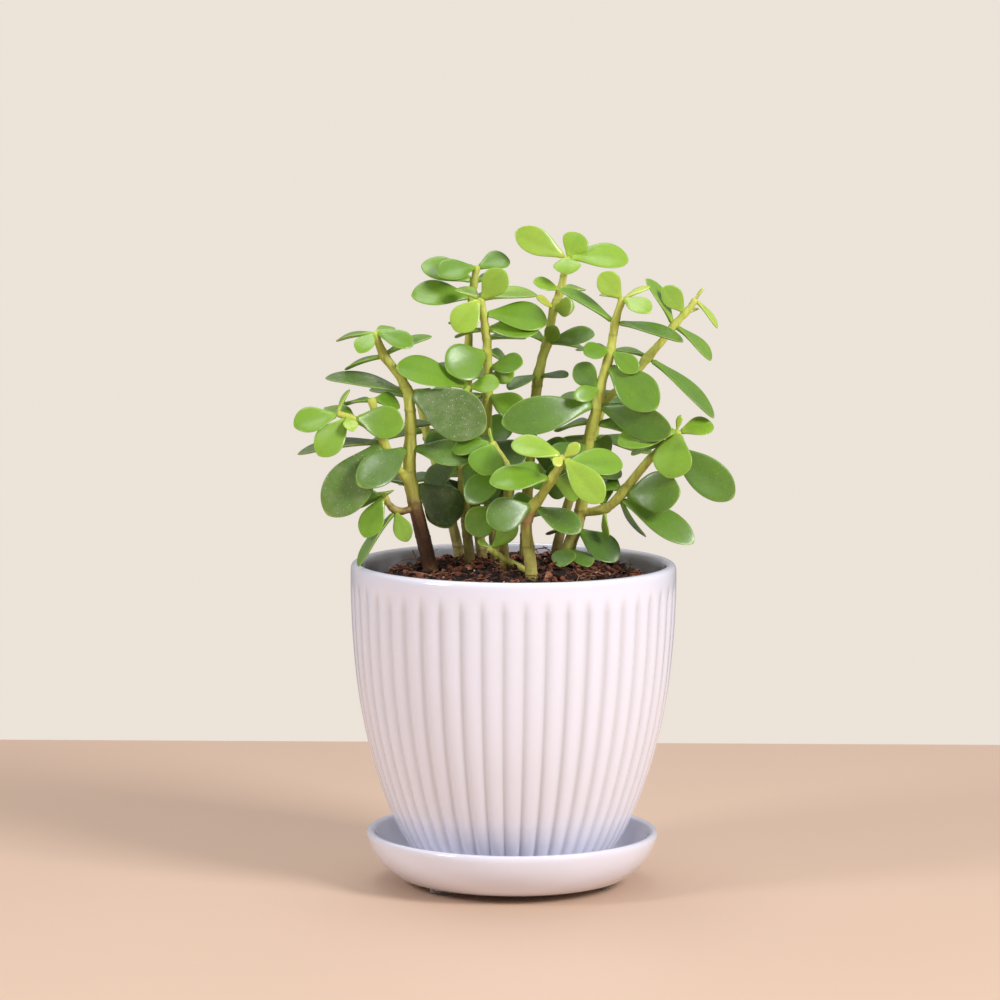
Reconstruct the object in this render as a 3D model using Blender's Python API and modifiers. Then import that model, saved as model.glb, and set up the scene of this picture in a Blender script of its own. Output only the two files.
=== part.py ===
"""A young jade plant in a ribbed ceramic pot that stands on its saucer.

Z is up, +X is to the right and the front faces -Y.  The origin is on the table under the pot's axis.
Every length below is in millimetres, and MM turns it into metres where a mesh is made.
"""
import math
from typing import NamedTuple

import bmesh
import bpy
from mathutils import Vector
from mathutils.bvhtree import BVHTree

MM = 0.001
GAP = 0.3                     # left between pieces that touch

# Pot and saucer.
RIM_TOP = 109.6
RIM_RADIUS = 55.0
WALL = 3.8
POT_FOOT = 6.5
FLOOR_BOTTOM = 8.2
FLOOR_TOP = 11.8
DRAIN_RADIUS = 6.0
RIB_COUNT = 48
RIB_DEPTH = 0.9
RIB_FULL_TOP = 99.0           # above this height the ribs fade into the smooth band
RIB_END_TOP = 104.0           # and here they are gone
RIB_END_BOTTOM = 7.5          # the ribs also fade out at the foot
RIB_FOOT_FADE = 6.0           # over this height
BUMPER_HEIGHT = 2.0
BUMPER_RADIUS = 4.0
BUMPER_ORBIT = 31.0
BUMPER_ANGLES = (-20.0, 100.0, -140.0)

# Soil.
SOIL_EDGE = 102.5
SOIL_MOUND = 8.0              # rise from the wall to the middle
SOIL_BOTTOM = 14.0
SOIL_SEGMENTS = 24
SOIL_RINGS = (0.2, 0.4, 0.6, 0.8, 0.93, 1.0)
SOIL_SIDE_HEIGHTS = (82.0, 36.0, SOIL_BOTTOM)
SOIL_LUMP = 0.9               # height of the broad lumps on the mound
SOIL_SMALL_LUMP = 0.5

# Leaves.
LEAF_CUP = 0.16               # rise of the edges, as a share of the half width
LEAF_ARCH = 0.05              # rise of the middle, as a share of the length
LEAF_OUTLINE = ((0.08, 0.20), (0.35, 0.72), (0.63, 1.02), (0.88, 0.72))
EASE_ROUNDS = 90
EASE_STEP = 0.45
EASE_ROOT_STEP = 0.08         # how far a leaf that meets a stem draws its root outwards each round
HOLE_SPARE = 0.4              # round a stem, so that the flats of its hole clear it by the gap
TIP_REACH = 2.0               # a whorl this near its stem's end closes over the end
COLLAR_WALL = 0.7             # of the collar through which a whorl's leaves are joined round the stem
COLLAR_OVERHANG = 1.0         # of the collar past its first and last whorl
SPARE = 0.2                   # clearance kept on every side while leaves are eased apart

# Which way the upper side of a leaf faces.
UP = (0.0, -0.25, 1.0)
TILT = (0.0, -0.7, 0.7)
FRONT = (0.0, -1.0, 0.25)
EDGE_LEFT = (-0.9, -0.35, 0.3)
EDGE_RIGHT = (0.9, -0.35, 0.4)
BACK = (0.0, 0.6, 0.8)


class Leaf(NamedTuple):
    """A leaf: its tip counted from its stem, its width and the way its upper side faces."""

    tip: tuple
    width: float
    face: tuple


class Whorl(NamedTuple):
    """Leaves that leave a stem at one height."""

    at: tuple
    leaves: tuple


# Each stem is a list of branches, and each branch a list of (x, y, z, radius), root first.
STEMS = {
    "stem_left": (
        ((-25, -6, 92, 2.6), (-27.6, -8, 107, 2.6), (-31.7, -9, 124, 2.45), (-35, -10, 139.5, 2.2),
         (-34.7, -10, 151.5, 2.0), (-35.4, -10, 167.5, 1.8), (-41, -9, 176.5, 1.5), (-43.7, -9, 180, 1.45),
         (-46.9, -8, 187.5, 1.2)),
        ((-35, -10, 137, 1.2), (-38.5, -13, 142, 1.6), (-43, -15, 150, 1.5), (-47.6, -16, 166, 1.2)),
        ((-44.2, -15, 153, 0.9), (-49, -16, 157, 1.0), (-54, -16, 159.5, 1.0), (-58.7, -16, 161, 0.9)),
        ((-33, -9, 129, 1.0), (-37.5, -12, 128, 1.2), (-41, -14, 129.5, 1.1), (-43.5, -15, 134, 0.9)),
    ),
    "stem_short": (
        ((-14, 3, 96, 1.8), (-15, 2, 112, 1.8), (-17, -1, 132, 1.7), (-17.5, -4, 152, 1.5),
         (-15.5, -6, 169.5, 1.2)),
    ),
    "stem_low_middle": (
        ((-2, -9, 96, 1.7), (-3, -12, 110, 1.7), (-3.5, -15, 126, 1.6), (-1.5, -18, 141, 1.5),
         (-7.5, -20, 152, 1.1)),
    ),
    "stem_middle": (
        ((-5, 5, 96, 2.0), (-6, 5, 112, 2.0), (-9, 4, 140, 1.8), (-9, 3, 165, 1.6), (-9.4, 0, 184, 1.4),
         (-11.5, -1, 198.5, 1.1)),
    ),
    "stem_middle_back": (
        ((-10, 16, 96, 1.9), (-11, 16, 112, 1.9), (-15, 15, 140, 1.7), (-16, 14, 175, 1.5),
         (-14.5, 13, 198, 1.2), (-13, 14, 208.5, 1.0)),
    ),
    "stem_back": (
        ((3, 14, 96, 2.1), (4, 14, 112, 2.1), (5, 13, 140, 1.9), (8, 13, 171.5, 1.8), (10.8, 13, 182, 1.6),
         (13.2, 14, 194.5, 1.4), (15.5, 14, 200.5, 1.3), (17.5, 14, 212, 1.1)),
    ),
    "stem_right": (
        ((16, 9, 94, 2.4), (18, 8, 111, 2.3), (21.2, 5, 121, 2.2), (23, 2, 130, 2.1), (24, -5, 148, 1.9),
         (27.3, -8, 161.5, 1.8), (29, -8, 171, 1.6), (32, -8, 182, 1.5), (33.4, -8, 191.5, 1.3),
         (35.8, -8, 199.5, 1.1)),
        ((27, -7, 161, 1.1), (31.7, -6, 166.5, 1.4), (38, -5, 171, 1.3), (44.2, -3, 179, 1.4),
         (49.2, -2, 184.5, 1.3), (53.3, -1, 190, 1.2), (58, 0, 195, 1.0), (60.5, 1, 198.5, 0.9)),
        ((22.5, 3, 126, 1.2), (26, 2, 126.6, 1.5), (31, 0, 128, 1.5), (36, -3, 133, 1.6), (45, -6, 145, 1.5),
         (51.5, -7, 151, 1.3), (55, -8, 155, 1.1)),
    ),
    "stem_front": (
        ((7, -19, 93, 2.2), (6, -22, 107, 2.2), (5, -23, 117, 2.0), (4, -25, 126, 1.8), (6, -26, 131, 1.9),
         (9.1, -28, 135.5, 1.6), (14.5, -32, 145, 1.3), (15.9, -34, 149, 1.1)),
    ),
    "cutting": (
        ((6, -13, 103, 1.2), (4, -14, 108.5, 1.2), (-3, -16, 112.5, 1.1), (-8.4, -17, 116.5, 1.0)),
    ),
    "stem_rear_left": (
        ((-18, 24, 95, 1.9), (-19, 25, 111, 1.9), (-24, 28, 130, 1.7), (-30, 31, 150, 1.4),
         (-33, 32, 162, 1.1)),
    ),
    "stem_rear_right": (
        ((14, 28, 95, 1.9), (15, 29, 111, 1.9), (20, 32, 130, 1.7), (27, 35, 148, 1.4), (31, 36, 160, 1.1)),
    ),
}

# Leaf nodes, each a pair or a cluster of pairs on one stem.
LEAF_GROUPS = {
    "leaves_left_tip": ("stem_left", (
        Whorl((-46.9, -8, 187.3), (
            Leaf((-13, 6, -3), 8, UP), Leaf((13, -4, -4), 8, TILT),
            Leaf((-5, -9, -6), 7, TILT), Leaf((6, 8, 1), 5.5, UP))),
        Whorl((-43.7, -9, 180), (Leaf((-13, 6, -5.5), 9, UP), Leaf((16, 5, 6), 8, UP))),
    )),
    "leaves_left_3": ("stem_left", (
        Whorl((-35.4, -10, 167.5), (Leaf((-28, 3, 4.5), 13, UP), Leaf((25, -9, -9), 17.5, FRONT))),
    )),
    "leaves_left_4": ("stem_left", (
        Whorl((-34.8, -10, 149), (Leaf((-14, -14, -9), 12, FRONT), Leaf((21, -10, -2.5), 11.5, TILT))),
        Whorl((-35, -10, 156), (Leaf((7, 13, 0), 11, UP),)),
    )),
    "leaves_left_5": ("stem_left", (
        Whorl((-34.5, -9, 136.5), (Leaf((13, 3, -12), 14, FRONT), Leaf((-13, 14, 2), 12, UP))),
    )),
    "leaves_left_outer_tip": ("stem_left", (
        Whorl((-58.7, -16, 161), (
            Leaf((-14.5, -3, -4.5), 11, TILT), Leaf((5, 5, 6.5), 5, EDGE_LEFT))),
        Whorl((-55.5, -16, 160), (Leaf((-9.5, -8, -12), 10, FRONT), Leaf((2, -8, -4), 5, TILT))),
        Whorl((-53, -16, 159.2), (Leaf((16.5, -5, -1.5), 11.5, FRONT), Leaf((-10, 10, 3), 8, UP))),
    )),
    "leaves_left_branch_tip": ("stem_left", (
        Whorl((-47.6, -16, 165.5), (Leaf((-10, 8, -1), 8, UP), Leaf((9, 6, -2), 8, TILT))),
    )),
    "leaves_left_outer_3": ("stem_left", (
        Whorl((-43.5, -15, 151.5), (Leaf((-18.5, -6, -24), 16, FRONT), Leaf((-29, 5, -5), 12.5, UP))),
    )),
    "leaves_left_low": ("stem_left", (
        Whorl((-43.3, -15, 133.5), (
            Leaf((-6.5, -4, -14), 8.5, FRONT), Leaf((-11, 5, -3), 9, TILT), Leaf((1, -9, 2), 6, TILT))),
        Whorl((-39.5, -13, 128.5), (Leaf((-12, -7, -18), 9, EDGE_LEFT), Leaf((4, -4, -10), 6.5, FRONT))),
    )),
    "leaves_short_tip": ("stem_short", (
        Whorl((-15.5, -6, 169.3), (
            Leaf((-23, -7, 4.5), 13, TILT), Leaf((10.5, -3, 1), 8.5, TILT),
            Leaf((-4, -6, -9), 7, FRONT), Leaf((-11, 8, 5), 8, UP))),
    )),
    "leaves_short_2": ("stem_short", (
        Whorl((-17.5, -4, 152), (Leaf((8, -13, -4), 11, TILT), Leaf((-8, 13, 1), 11, UP))),
        Whorl((-17.4, -3, 143), (Leaf((11, -9, -12), 13, FRONT), Leaf((-13, 4, -12), 12, TILT))),
        Whorl((-16.8, -0.5, 131), (Leaf((-15, -5, -5), 13, FRONT), Leaf((7, 13, 0), 11, BACK))),
    )),
    "leaves_low_middle": ("stem_low_middle", (
        Whorl((-7.5, -20, 151.8), (
            Leaf((-3, -7, -10), 12.5, FRONT), Leaf((-13, 4, -3), 9, TILT), Leaf((-1, 1, 5), 2.2, EDGE_LEFT))),
        Whorl((-2.5, -18.4, 143.5), (Leaf((-13, -6, -11), 11, TILT), Leaf((13, 5, -6), 11, TILT))),
        Whorl((-3.4, -15, 129), (Leaf((-13, -3, -6), 11, FRONT), Leaf((10, 6, 2), 10, TILT))),
    )),
    "leaves_middle_tip": ("stem_middle", (
        Whorl((-11.5, -2, 198.3), (
            Leaf((8, -3, 10), 9.5, FRONT), Leaf((-8.5, -5, -10.5), 10, FRONT),
            Leaf((19, 6, 1), 11, UP), Leaf((-8, 8, 3), 7, UP))),
    )),
    "leaves_middle_2": ("stem_middle", (
        Whorl((-11, -1, 193.2), (Leaf((21.5, 0, -3), 12, TILT), Leaf((-11, 9, -4), 9, UP))),
        Whorl((-9.6, -2, 188), (Leaf((18, -3, 1), 11, TILT), Leaf((-10, 7, -3), 7.5, UP))),
        Whorl((-9.5, -2, 185), (Leaf((13, 9, -1), 8.5, UP),)),
    )),
    "leaves_middle_3": ("stem_middle", (
        Whorl((-9.3, 0, 180.3), (Leaf((-13.5, -11, -5.5), 14, FRONT), Leaf((7, 8, -4), 8, TILT))),
        Whorl((-9, 1.5, 175), (Leaf((12, -6, 2), 9, TILT),)),
    )),
    "leaves_middle_4": ("stem_middle", (
        Whorl((-9, -1, 170.5), (Leaf((9, -3, 3.5), 7, FRONT), Leaf((-8, 6, 2), 7, UP))),
        Whorl((-9, -1, 165), (Leaf((12.5, -9, -5), 9.5, FRONT), Leaf((-12, 9, -4), 10, UP))),
    )),
    "leaves_middle_5": ("stem_middle", (
        Whorl((-9, 2, 150), (Leaf((-15, 1, -10), 12, TILT), Leaf((12, -8, -7), 12, TILT))),
        Whorl((-9, 1, 143), (Leaf((13, -3, -6), 13, FRONT), Leaf((-12, 10, -3), 13, UP))),
    )),
    "leaves_middle_back_tip": ("stem_middle_back", (
        Whorl((-13, 14, 208), (Leaf((11, 5, 3), 9, TILT), Leaf((-13, -7, -2), 10, TILT))),
        Whorl((-14, 13.5, 203.5), (Leaf((-18, 3, 5), 11, TILT), Leaf((10, 9, 1), 8, UP))),
    )),
    "leaves_middle_back_2": ("stem_middle_back", (
        Whorl((-14.5, 13, 198), (Leaf((-20.5, -3, 1), 12, TILT), Leaf((13, 8, 0), 9, UP))),
    )),
    "leaves_middle_back_3": ("stem_middle_back", (
        Whorl((-16, 14, 171), (Leaf((-15, 13, 2), 12, UP), Leaf((12, 13, -1), 12, UP))),
        Whorl((-15.8, 14.5, 162), (Leaf((6, 20, -2), 13, BACK), Leaf((-19, 4, 0), 13, UP))),
        Whorl((-15.6, 14.5, 151), (Leaf((15, -4, 2), 13, TILT), Leaf((-15, -5, -4), 12, TILT))),
    )),
    "leaves_middle_back_4": ("stem_middle_back", (
        Whorl((-14, 15, 134), (Leaf((-14, -6, -6), 13, FRONT), Leaf((13, -8, -3), 13, FRONT))),
        Whorl((-12.5, 15.5, 124), (Leaf((-12, 4, 5), 12, TILT), Leaf((12, -2, 3), 12, TILT))),
    )),
    "leaves_back_tip": ("stem_back", (
        Whorl((17.3, 14, 211.8), (
            Leaf((-17.5, 0, 8.5), 9.5, FRONT), Leaf((21, 2, -1), 12, TILT),
            Leaf((4.5, 2, 8), 9.5, FRONT), Leaf((0, -7, -5.5), 9.5, FRONT))),
    )),
    "leaves_back_2": ("stem_back", (
        Whorl((15.5, 14, 200.5), (Leaf((-9.5, -3, 3), 6, TILT), Leaf((8, 7, 0), 7, UP))),
        Whorl((13.2, 14, 194.5), (Leaf((-6, -5, 4), 4.5, TILT), Leaf((7, -7, 1), 7, FRONT))),
    )),
    "leaves_back_3": ("stem_back", (
        Whorl((11, 13, 183), (
            Leaf((16, -6, 3), 9, TILT), Leaf((-9, 5, 4), 7.5, UP),
            Leaf((13, 8, -3), 8, UP), Leaf((3, -6, 6), 6, FRONT))),
    )),
    "leaves_back_4": ("stem_back", (
        Whorl((8, 13, 171.5), (Leaf((-10, -8, -4), 8, UP), Leaf((10, -6, 0), 8, UP))),
        Whorl((6.5, 13, 160), (Leaf((-11, 13, -2), 12, BACK), Leaf((12, -9, -4), 13, TILT))),
        Whorl((5.2, 13, 146), (Leaf((14, -6, -2), 13, FRONT), Leaf((-12, -6, -4), 12, FRONT))),
    )),
    "leaves_right_tip": ("stem_right", (
        Whorl((35.7, -8, 199.3), (
            Leaf((-7.5, -2, 8.5), 8.5, FRONT), Leaf((9, -8, -4), 8, TILT),
            Leaf((-7.5, 5, 1), 4, UP), Leaf((9.5, 4, 3.5), 4, UP))),
    )),
    "leaves_right_2": ("stem_right", (
        Whorl((33.4, -8, 191.3), (Leaf((22.5, -5, -6.5), 11, UP), Leaf((-19, 3, 10.5), 10, EDGE_RIGHT))),
    )),
    "leaves_right_3": ("stem_right", (
        Whorl((31.8, -8, 181.7), (
            Leaf((-9, -4, -0.5), 8.5, TILT), Leaf((9, -6, -6.5), 7, FRONT), Leaf((-11, 8, 0), 9, UP))),
        Whorl((30.6, -8, 177), (Leaf((16.5, -10, -13.5), 13.5, FRONT),)),
    )),
    "leaves_right_4": ("stem_right", (
        Whorl((28.8, -8, 169), (Leaf((-7.5, -1, 8), 8.5, FRONT), Leaf((-9, -8, -2.5), 6, FRONT))),
        Whorl((27.8, -8, 163.6), (
            Leaf((24.5, -8, -8.5), 11.5, EDGE_LEFT), Leaf((-32, -8, -5.5), 13, FRONT))),
        Whorl((28, -8, 166), (Leaf((4, 14, 1), 11, UP),)),
    )),
    "leaves_right_5": ("stem_right", (
        Whorl((26.3, -7, 157.5), (Leaf((27, 3, -3), 12, TILT), Leaf((-12, 11, -3), 11, UP))),
        Whorl((24.5, -5, 150), (Leaf((8, 7, -3), 10, FRONT), Leaf((-12, -12, -4), 10, TILT))),
        Whorl((23.6, -1.5, 139), (Leaf((-13, 6, -4), 12, FRONT), Leaf((12, 8, 2), 12, TILT))),
    )),
    "leaves_branch_tip": ("stem_right", (
        Whorl((60.5, 1, 198.3), (Leaf((3, 0.5, 4), 2.2, EDGE_LEFT), Leaf((7.5, -1, -9.5), 5, EDGE_RIGHT))),
        Whorl((57, 0, 194), (Leaf((-7.5, -2, 9), 7.5, FRONT), Leaf((4, 7, 1), 5, UP))),
    )),
    "leaves_branch_2": ("stem_right", (
        Whorl((53.3, -1, 190), (
            Leaf((-9.5, 2, 15.5), 10, EDGE_RIGHT), Leaf((12.5, -3, -11.5), 10, EDGE_RIGHT))),
    )),
    "leaves_branch_3": ("stem_right", (
        Whorl((44.5, -3, 179.3), (Leaf((-11, 6, 2), 6.5, UP), Leaf((22, -3, -20.5), 11, EDGE_RIGHT))),
    )),
    "leaves_front_tip": ("stem_front", (
        Whorl((15.8, -34, 148.8), (
            Leaf((5.5, -1, 4.5), 4.2, FRONT), Leaf((-3, -4, -2.5), 3.8, FRONT),
            Leaf((-17, 2, 4), 10, TILT), Leaf((13, -5, -14.5), 10.5, FRONT))),
    )),
    "leaves_front_2": ("stem_front", (
        Whorl((14.8, -32, 145.5), (Leaf((21, 7, 0), 12, TILT),)),
        Whorl((12.2, -30.5, 141), (Leaf((-20.5, -5, -0.5), 11, TILT), Leaf((10, 8, -4), 11, FRONT))),
    )),
    "leaves_front_3": ("stem_front", (
        Whorl((6.5, -26, 131.5), (Leaf((15.5, -6, -8), 10, TILT), Leaf((-15.5, -6, -4.5), 12, FRONT))),
        Whorl((4.6, -25, 128), (Leaf((-13, 4, 5.5), 8, UP), Leaf((9, 9, 1), 8, UP))),
    )),
    "leaves_cutting": ("cutting", (
        Whorl((-7.5, -17, 116), (Leaf((8.5, -3, 10), 7, FRONT), Leaf((-4.5, 0, 3), 2.8, TILT))),
    )),
    "leaves_right_low": ("stem_right", (
        Whorl((18.6, 7.5, 113.5), (Leaf((-3, -21, -6.5), 8.5, UP), Leaf((8, -17, -6), 8, UP))),
        Whorl((21, 5, 120.5), (Leaf((13, -6, -12.5), 11, TILT), Leaf((-9, 8, -3), 10, UP))),
    )),
    "leaves_right_twig": ("stem_right", (
        Whorl((30.5, 0.4, 127.8), (Leaf((1.5, -2, -9.5), 5, EDGE_LEFT), Leaf((-3, 4, 9), 9, FRONT))),
    )),
    "leaves_low_right_tip": ("stem_right", (
        Whorl((54.8, -8, 154.8), (
            Leaf((-3.5, -6, -15), 13.5, FRONT), Leaf((-20.5, -3, -5.5), 11, TILT),
            Leaf((12, 3, 2), 8.5, TILT), Leaf((0.3, 0, 5), 2.2, FRONT))),
    )),
    "leaves_low_right_2": ("stem_right", (
        Whorl((51, -7, 150.6), (Leaf((22.5, -1, -18), 13, FRONT), Leaf((-11, 11, -3), 11, TILT))),
    )),
    "leaves_low_right_3": ("stem_right", (
        Whorl((36.5, -3, 134), (Leaf((17, -8, 3), 14.5, FRONT), Leaf((-11, 8, 2), 10, TILT))),
        Whorl((35.2, -2.5, 132), (Leaf((25, -7, -15), 11, TILT), Leaf((9.5, 5, -14), 7.5, EDGE_LEFT))),
    )),
    "leaves_rear_left": ("stem_rear_left", (
        Whorl((-33, 32, 161.8), (
            Leaf((-17, 3, 3), 11, UP), Leaf((14, 4, 1), 11, UP),
            Leaf((-3, 14, 1), 10, BACK), Leaf((2, -9, 4), 7, UP))),
        Whorl((-30, 31, 151), (
            Leaf((-20, 6, -5), 13, UP), Leaf((8, 15, -8), 13, BACK))),
        Whorl((-25.5, 29, 135), (Leaf((12, -8, 2), 12, UP), Leaf((-14, 6, -3), 12, UP))),
    )),
    "leaves_rear_right": ("stem_rear_right", (
        Whorl((31, 36, 159.8), (
            Leaf((17, 2, 2), 11, UP), Leaf((-15, 3, 2), 11, UP),
            Leaf((3, 13, 1), 10, BACK), Leaf((-2, -10, 4), 7, UP))),
        Whorl((27, 35, 149), (
            Leaf((20, -3, -6), 13, UP), Leaf((-9, 14, -8), 13, BACK))),
        Whorl((21.5, 32.5, 134), (Leaf((-14, -4, 4), 12, TILT), Leaf((14, 4, -2), 12, UP))),
    )),
}


def clear_scene():
    """Start from an empty scene."""
    for item in list(bpy.data.objects):
        bpy.data.objects.remove(item, do_unlink=True)


def new_collection(name):
    """Add a collection to the scene."""
    collection = bpy.data.collections.new(name)
    bpy.context.scene.collection.children.link(collection)
    return collection


def make_material(name, colour, roughness, metallic=0.0, alpha=1.0):
    """A Principled material of one colour."""
    material = bpy.data.materials.new(name)
    material.use_nodes = True
    shader = material.node_tree.nodes["Principled BSDF"]
    shader.inputs["Base Color"].default_value = (*colour, 1.0)
    shader.inputs["Roughness"].default_value = roughness
    shader.inputs["Metallic"].default_value = metallic
    shader.inputs["Alpha"].default_value = alpha
    material.diffuse_color = (*colour, alpha)
    return material


def add_object(name, mesh, collection, material=None):
    """Link an object that holds the mesh."""
    item = bpy.data.objects.new(name, mesh)
    collection.objects.link(item)
    if material:
        mesh.materials.clear()
        mesh.materials.append(material)
    return item


def evaluated_mesh(item):
    """A mesh of the object with its modifiers or its bevel applied, and its caps welded."""
    bpy.context.view_layer.update()
    graph = bpy.context.evaluated_depsgraph_get()
    mesh = bpy.data.meshes.new_from_object(item.evaluated_get(graph))
    shape = bmesh.new()
    shape.from_mesh(mesh)
    bmesh.ops.remove_doubles(shape, verts=shape.verts, dist=0.000002)
    bmesh.ops.recalc_face_normals(shape, faces=shape.faces)
    shape.to_mesh(mesh)
    shape.free()
    return mesh


def turned_mesh(name, profile, segments, collection, closed=True):
    """Turn a profile of (radius, height) points about Z with a Screw modifier."""
    mesh = bpy.data.meshes.new(name + "_profile")
    points = [(radius * MM, 0.0, height * MM) for radius, height in profile]
    edges = [(i, i + 1) for i in range(len(points) - 1)]
    if closed:
        edges.append((len(points) - 1, 0))
    mesh.from_pydata(points, edges, [])
    item = add_object(name + "_profile", mesh, collection)
    screw = item.modifiers.new("turn", "SCREW")
    screw.steps = segments
    screw.render_steps = segments
    screw.use_merge_vertices = True
    screw.merge_threshold = 0.00001
    turned = evaluated_mesh(item)
    bpy.data.objects.remove(item, do_unlink=True)
    return turned


def smooth_shading(mesh):
    """Shade round pieces smooth and keep the sharp corners."""
    mesh.shade_smooth()
    mesh.set_sharp_from_angle(angle=math.radians(40))


def pot_outside():
    """The pot's outer side, from the lip down to the foot."""
    return [(53.1, RIM_TOP), (54.6, 108.7), (RIM_RADIUS, 104.5), (RIM_RADIUS, RIB_FULL_TOP), (54.2, 82.0),
            (51.6, 60.5), (47.2, 42.0), (41.4, 24.6), (34.6, 12.2), (29.6, POT_FOOT)]


def pot_inside():
    """The pot's inner side, from the floor up to the lip."""
    return [(27.5, FLOOR_TOP), (42.5, 36.0), (50.3, 82.0), (RIM_RADIUS - WALL, 107.6)]


def pot_profile():
    """The pot's wall from the lip down the outer side, under the foot and up the inner side."""
    foot = [(24.0, POT_FOOT), (22.0, FLOOR_BOTTOM), (DRAIN_RADIUS, FLOOR_BOTTOM), (DRAIN_RADIUS, FLOOR_TOP)]
    return pot_outside() + foot + pot_inside()


def rib_depth_at(height):
    """How deep the groove is at this height: none at the rim, full below the band, fading at the foot."""
    band = min(1.0, max(0.0, (RIB_END_TOP - height) / (RIB_END_TOP - RIB_FULL_TOP)))
    foot = min(1.0, max(0.0, (height - RIB_END_BOTTOM) / RIB_FOOT_FADE))
    return RIB_DEPTH * band * foot


def make_pot(collection, material):
    """The ribbed pot: a turned wall whose outer side is pressed in at every groove."""
    mesh = turned_mesh("pot", pot_profile(), 2 * RIB_COUNT, collection)
    step = math.pi / RIB_COUNT
    for vertex in mesh.vertices:
        radius = math.hypot(vertex.co.x, vertex.co.y) / MM
        height = vertex.co.z / MM
        outer = radius > 0.5 * (radius_inside(height) + radius_outside(height))
        groove = round(math.atan2(vertex.co.y, vertex.co.x) / step) % 2 == 1
        if outer and groove:
            press = 1.0 - rib_depth_at(height) / radius
            vertex.co.x *= press
            vertex.co.y *= press
    smooth_shading(mesh)
    return add_object("pot", mesh, collection, material)


def profile_radius(points, height):
    """The radius of a wall at a height, read between its points."""
    ordered = sorted(points, key=lambda point: point[1])
    if height <= ordered[0][1]:
        return ordered[0][0]
    for (r0, z0), (r1, z1) in zip(ordered, ordered[1:]):
        if z0 <= height <= z1 and z1 > z0:
            return r0 + (r1 - r0) * (height - z0) / (z1 - z0)
    return ordered[-1][0]


def radius_outside(height):
    """The pot's outer radius at a height."""
    return profile_radius(pot_outside(), height)


def radius_inside(height):
    """The pot's inner radius at a height."""
    return profile_radius(pot_inside(), height)


def make_saucer(collection, material):
    """The saucer: a round dish with a flared wall and a rounded lip."""
    inner = [(0.0, 6.2), (36.5, 6.2), (40.6, 8.0), (44.4, 12.4), (46.6, 17.2)]
    outer = [(48.0, 18.3), (49.2, 17.9), (49.4, 16.6), (48.0, 12.2), (44.6, 7.4), (40.0, 3.6), (36.0, 2.3),
             (0.0, 2.3)]
    mesh = turned_mesh("saucer", inner + outer, RIB_COUNT, collection, closed=False)
    smooth_shading(mesh)
    return add_object("saucer", mesh, collection, material)


def make_bumper(number, angle, collection, material):
    """A small clear round foot under the saucer."""
    turn = math.radians(angle)
    place = (BUMPER_ORBIT * MM * math.cos(turn), BUMPER_ORBIT * MM * math.sin(turn), BUMPER_HEIGHT * MM / 2)
    mesh = bpy.data.meshes.new("bumper")
    shape = bmesh.new()
    bmesh.ops.create_cone(shape, cap_ends=True, segments=20, radius1=BUMPER_RADIUS * MM,
                          radius2=(BUMPER_RADIUS - 0.5) * MM, depth=BUMPER_HEIGHT * MM)
    shape.to_mesh(mesh)
    shape.free()
    item = add_object(f"bumper_{number}", mesh, collection, material)
    item.location = place
    return item


def smooth_route(route, pieces=2):
    """Points of a smooth curve through the route's own points."""
    rows = [Vector(row) for row in route]
    rows = [2 * rows[0] - rows[1]] + rows + [2 * rows[-1] - rows[-2]]
    result = []
    for before, start, end, after in zip(rows, rows[1:], rows[2:], rows[3:]):
        for step in range(pieces):
            t = step / pieces
            result.append(0.5 * ((2 * start) + (end - before) * t
                                 + (2 * before - 5 * start + 4 * end - after) * t * t
                                 + (3 * start - before - 3 * end + after) * t * t * t))
    result.append(rows[-2])
    return result


def end_direction(points):
    """The direction in which a route ends, with no change of radius."""
    run = points[-1].to_3d() - points[-2].to_3d()
    return Vector((*run.normalized(), 0.0))


def tube_mesh(route, spare=0.0, pieces=2):
    """A tapering six-sided tube with closed ends along the route, longer at its end by the spare too."""
    curve = bpy.data.curves.new("route", "CURVE")
    curve.dimensions = "3D"
    curve.bevel_depth = MM
    curve.bevel_resolution = 1
    curve.use_fill_caps = True
    points = smooth_route(route, pieces)
    points[-1] = points[-1] + spare * end_direction(points)
    spline = curve.splines.new("POLY")
    spline.points.add(len(points) - 1)
    for point, row in zip(spline.points, points):
        point.co = (row[0] * MM, row[1] * MM, row[2] * MM, 1.0)
        point.radius = row[3] + spare
    item = bpy.data.objects.new("route", curve)
    bpy.context.scene.collection.objects.link(item)
    mesh = evaluated_mesh(item)
    bpy.data.objects.remove(item, do_unlink=True)
    bpy.data.curves.remove(curve)
    return mesh


def join_bodies(first, others, operation):
    """Add bodies to the object, or cut them away, with exact Booleans."""
    for other in others:
        other.display_type = "WIRE"
        other.hide_render = True
        boolean = first.modifiers.new("boolean", "BOOLEAN")
        boolean.operation = operation
        boolean.solver = "EXACT"
        boolean.object = other
    mesh = evaluated_mesh(first)
    name = first.name
    material = first.data.materials[0]
    collection = first.users_collection[0]
    bpy.data.objects.remove(first, do_unlink=True)
    for other in others:
        bpy.data.objects.remove(other, do_unlink=True)
    smooth_shading(mesh)
    return add_object(name, mesh, collection, material)


def make_stem(name, branches, collection, cutters, material):
    """A stem with its branches grown out of it."""
    stem = add_object(name, tube_mesh(branches[0]), collection, material)
    smooth_shading(stem.data)
    if len(branches) > 1:
        others = [add_object(f"{name}_branch_{i}", tube_mesh(branch), cutters, material)
                  for i, branch in enumerate(branches[1:])]
        stem = join_bodies(stem, others, "UNION")
    return stem


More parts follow.
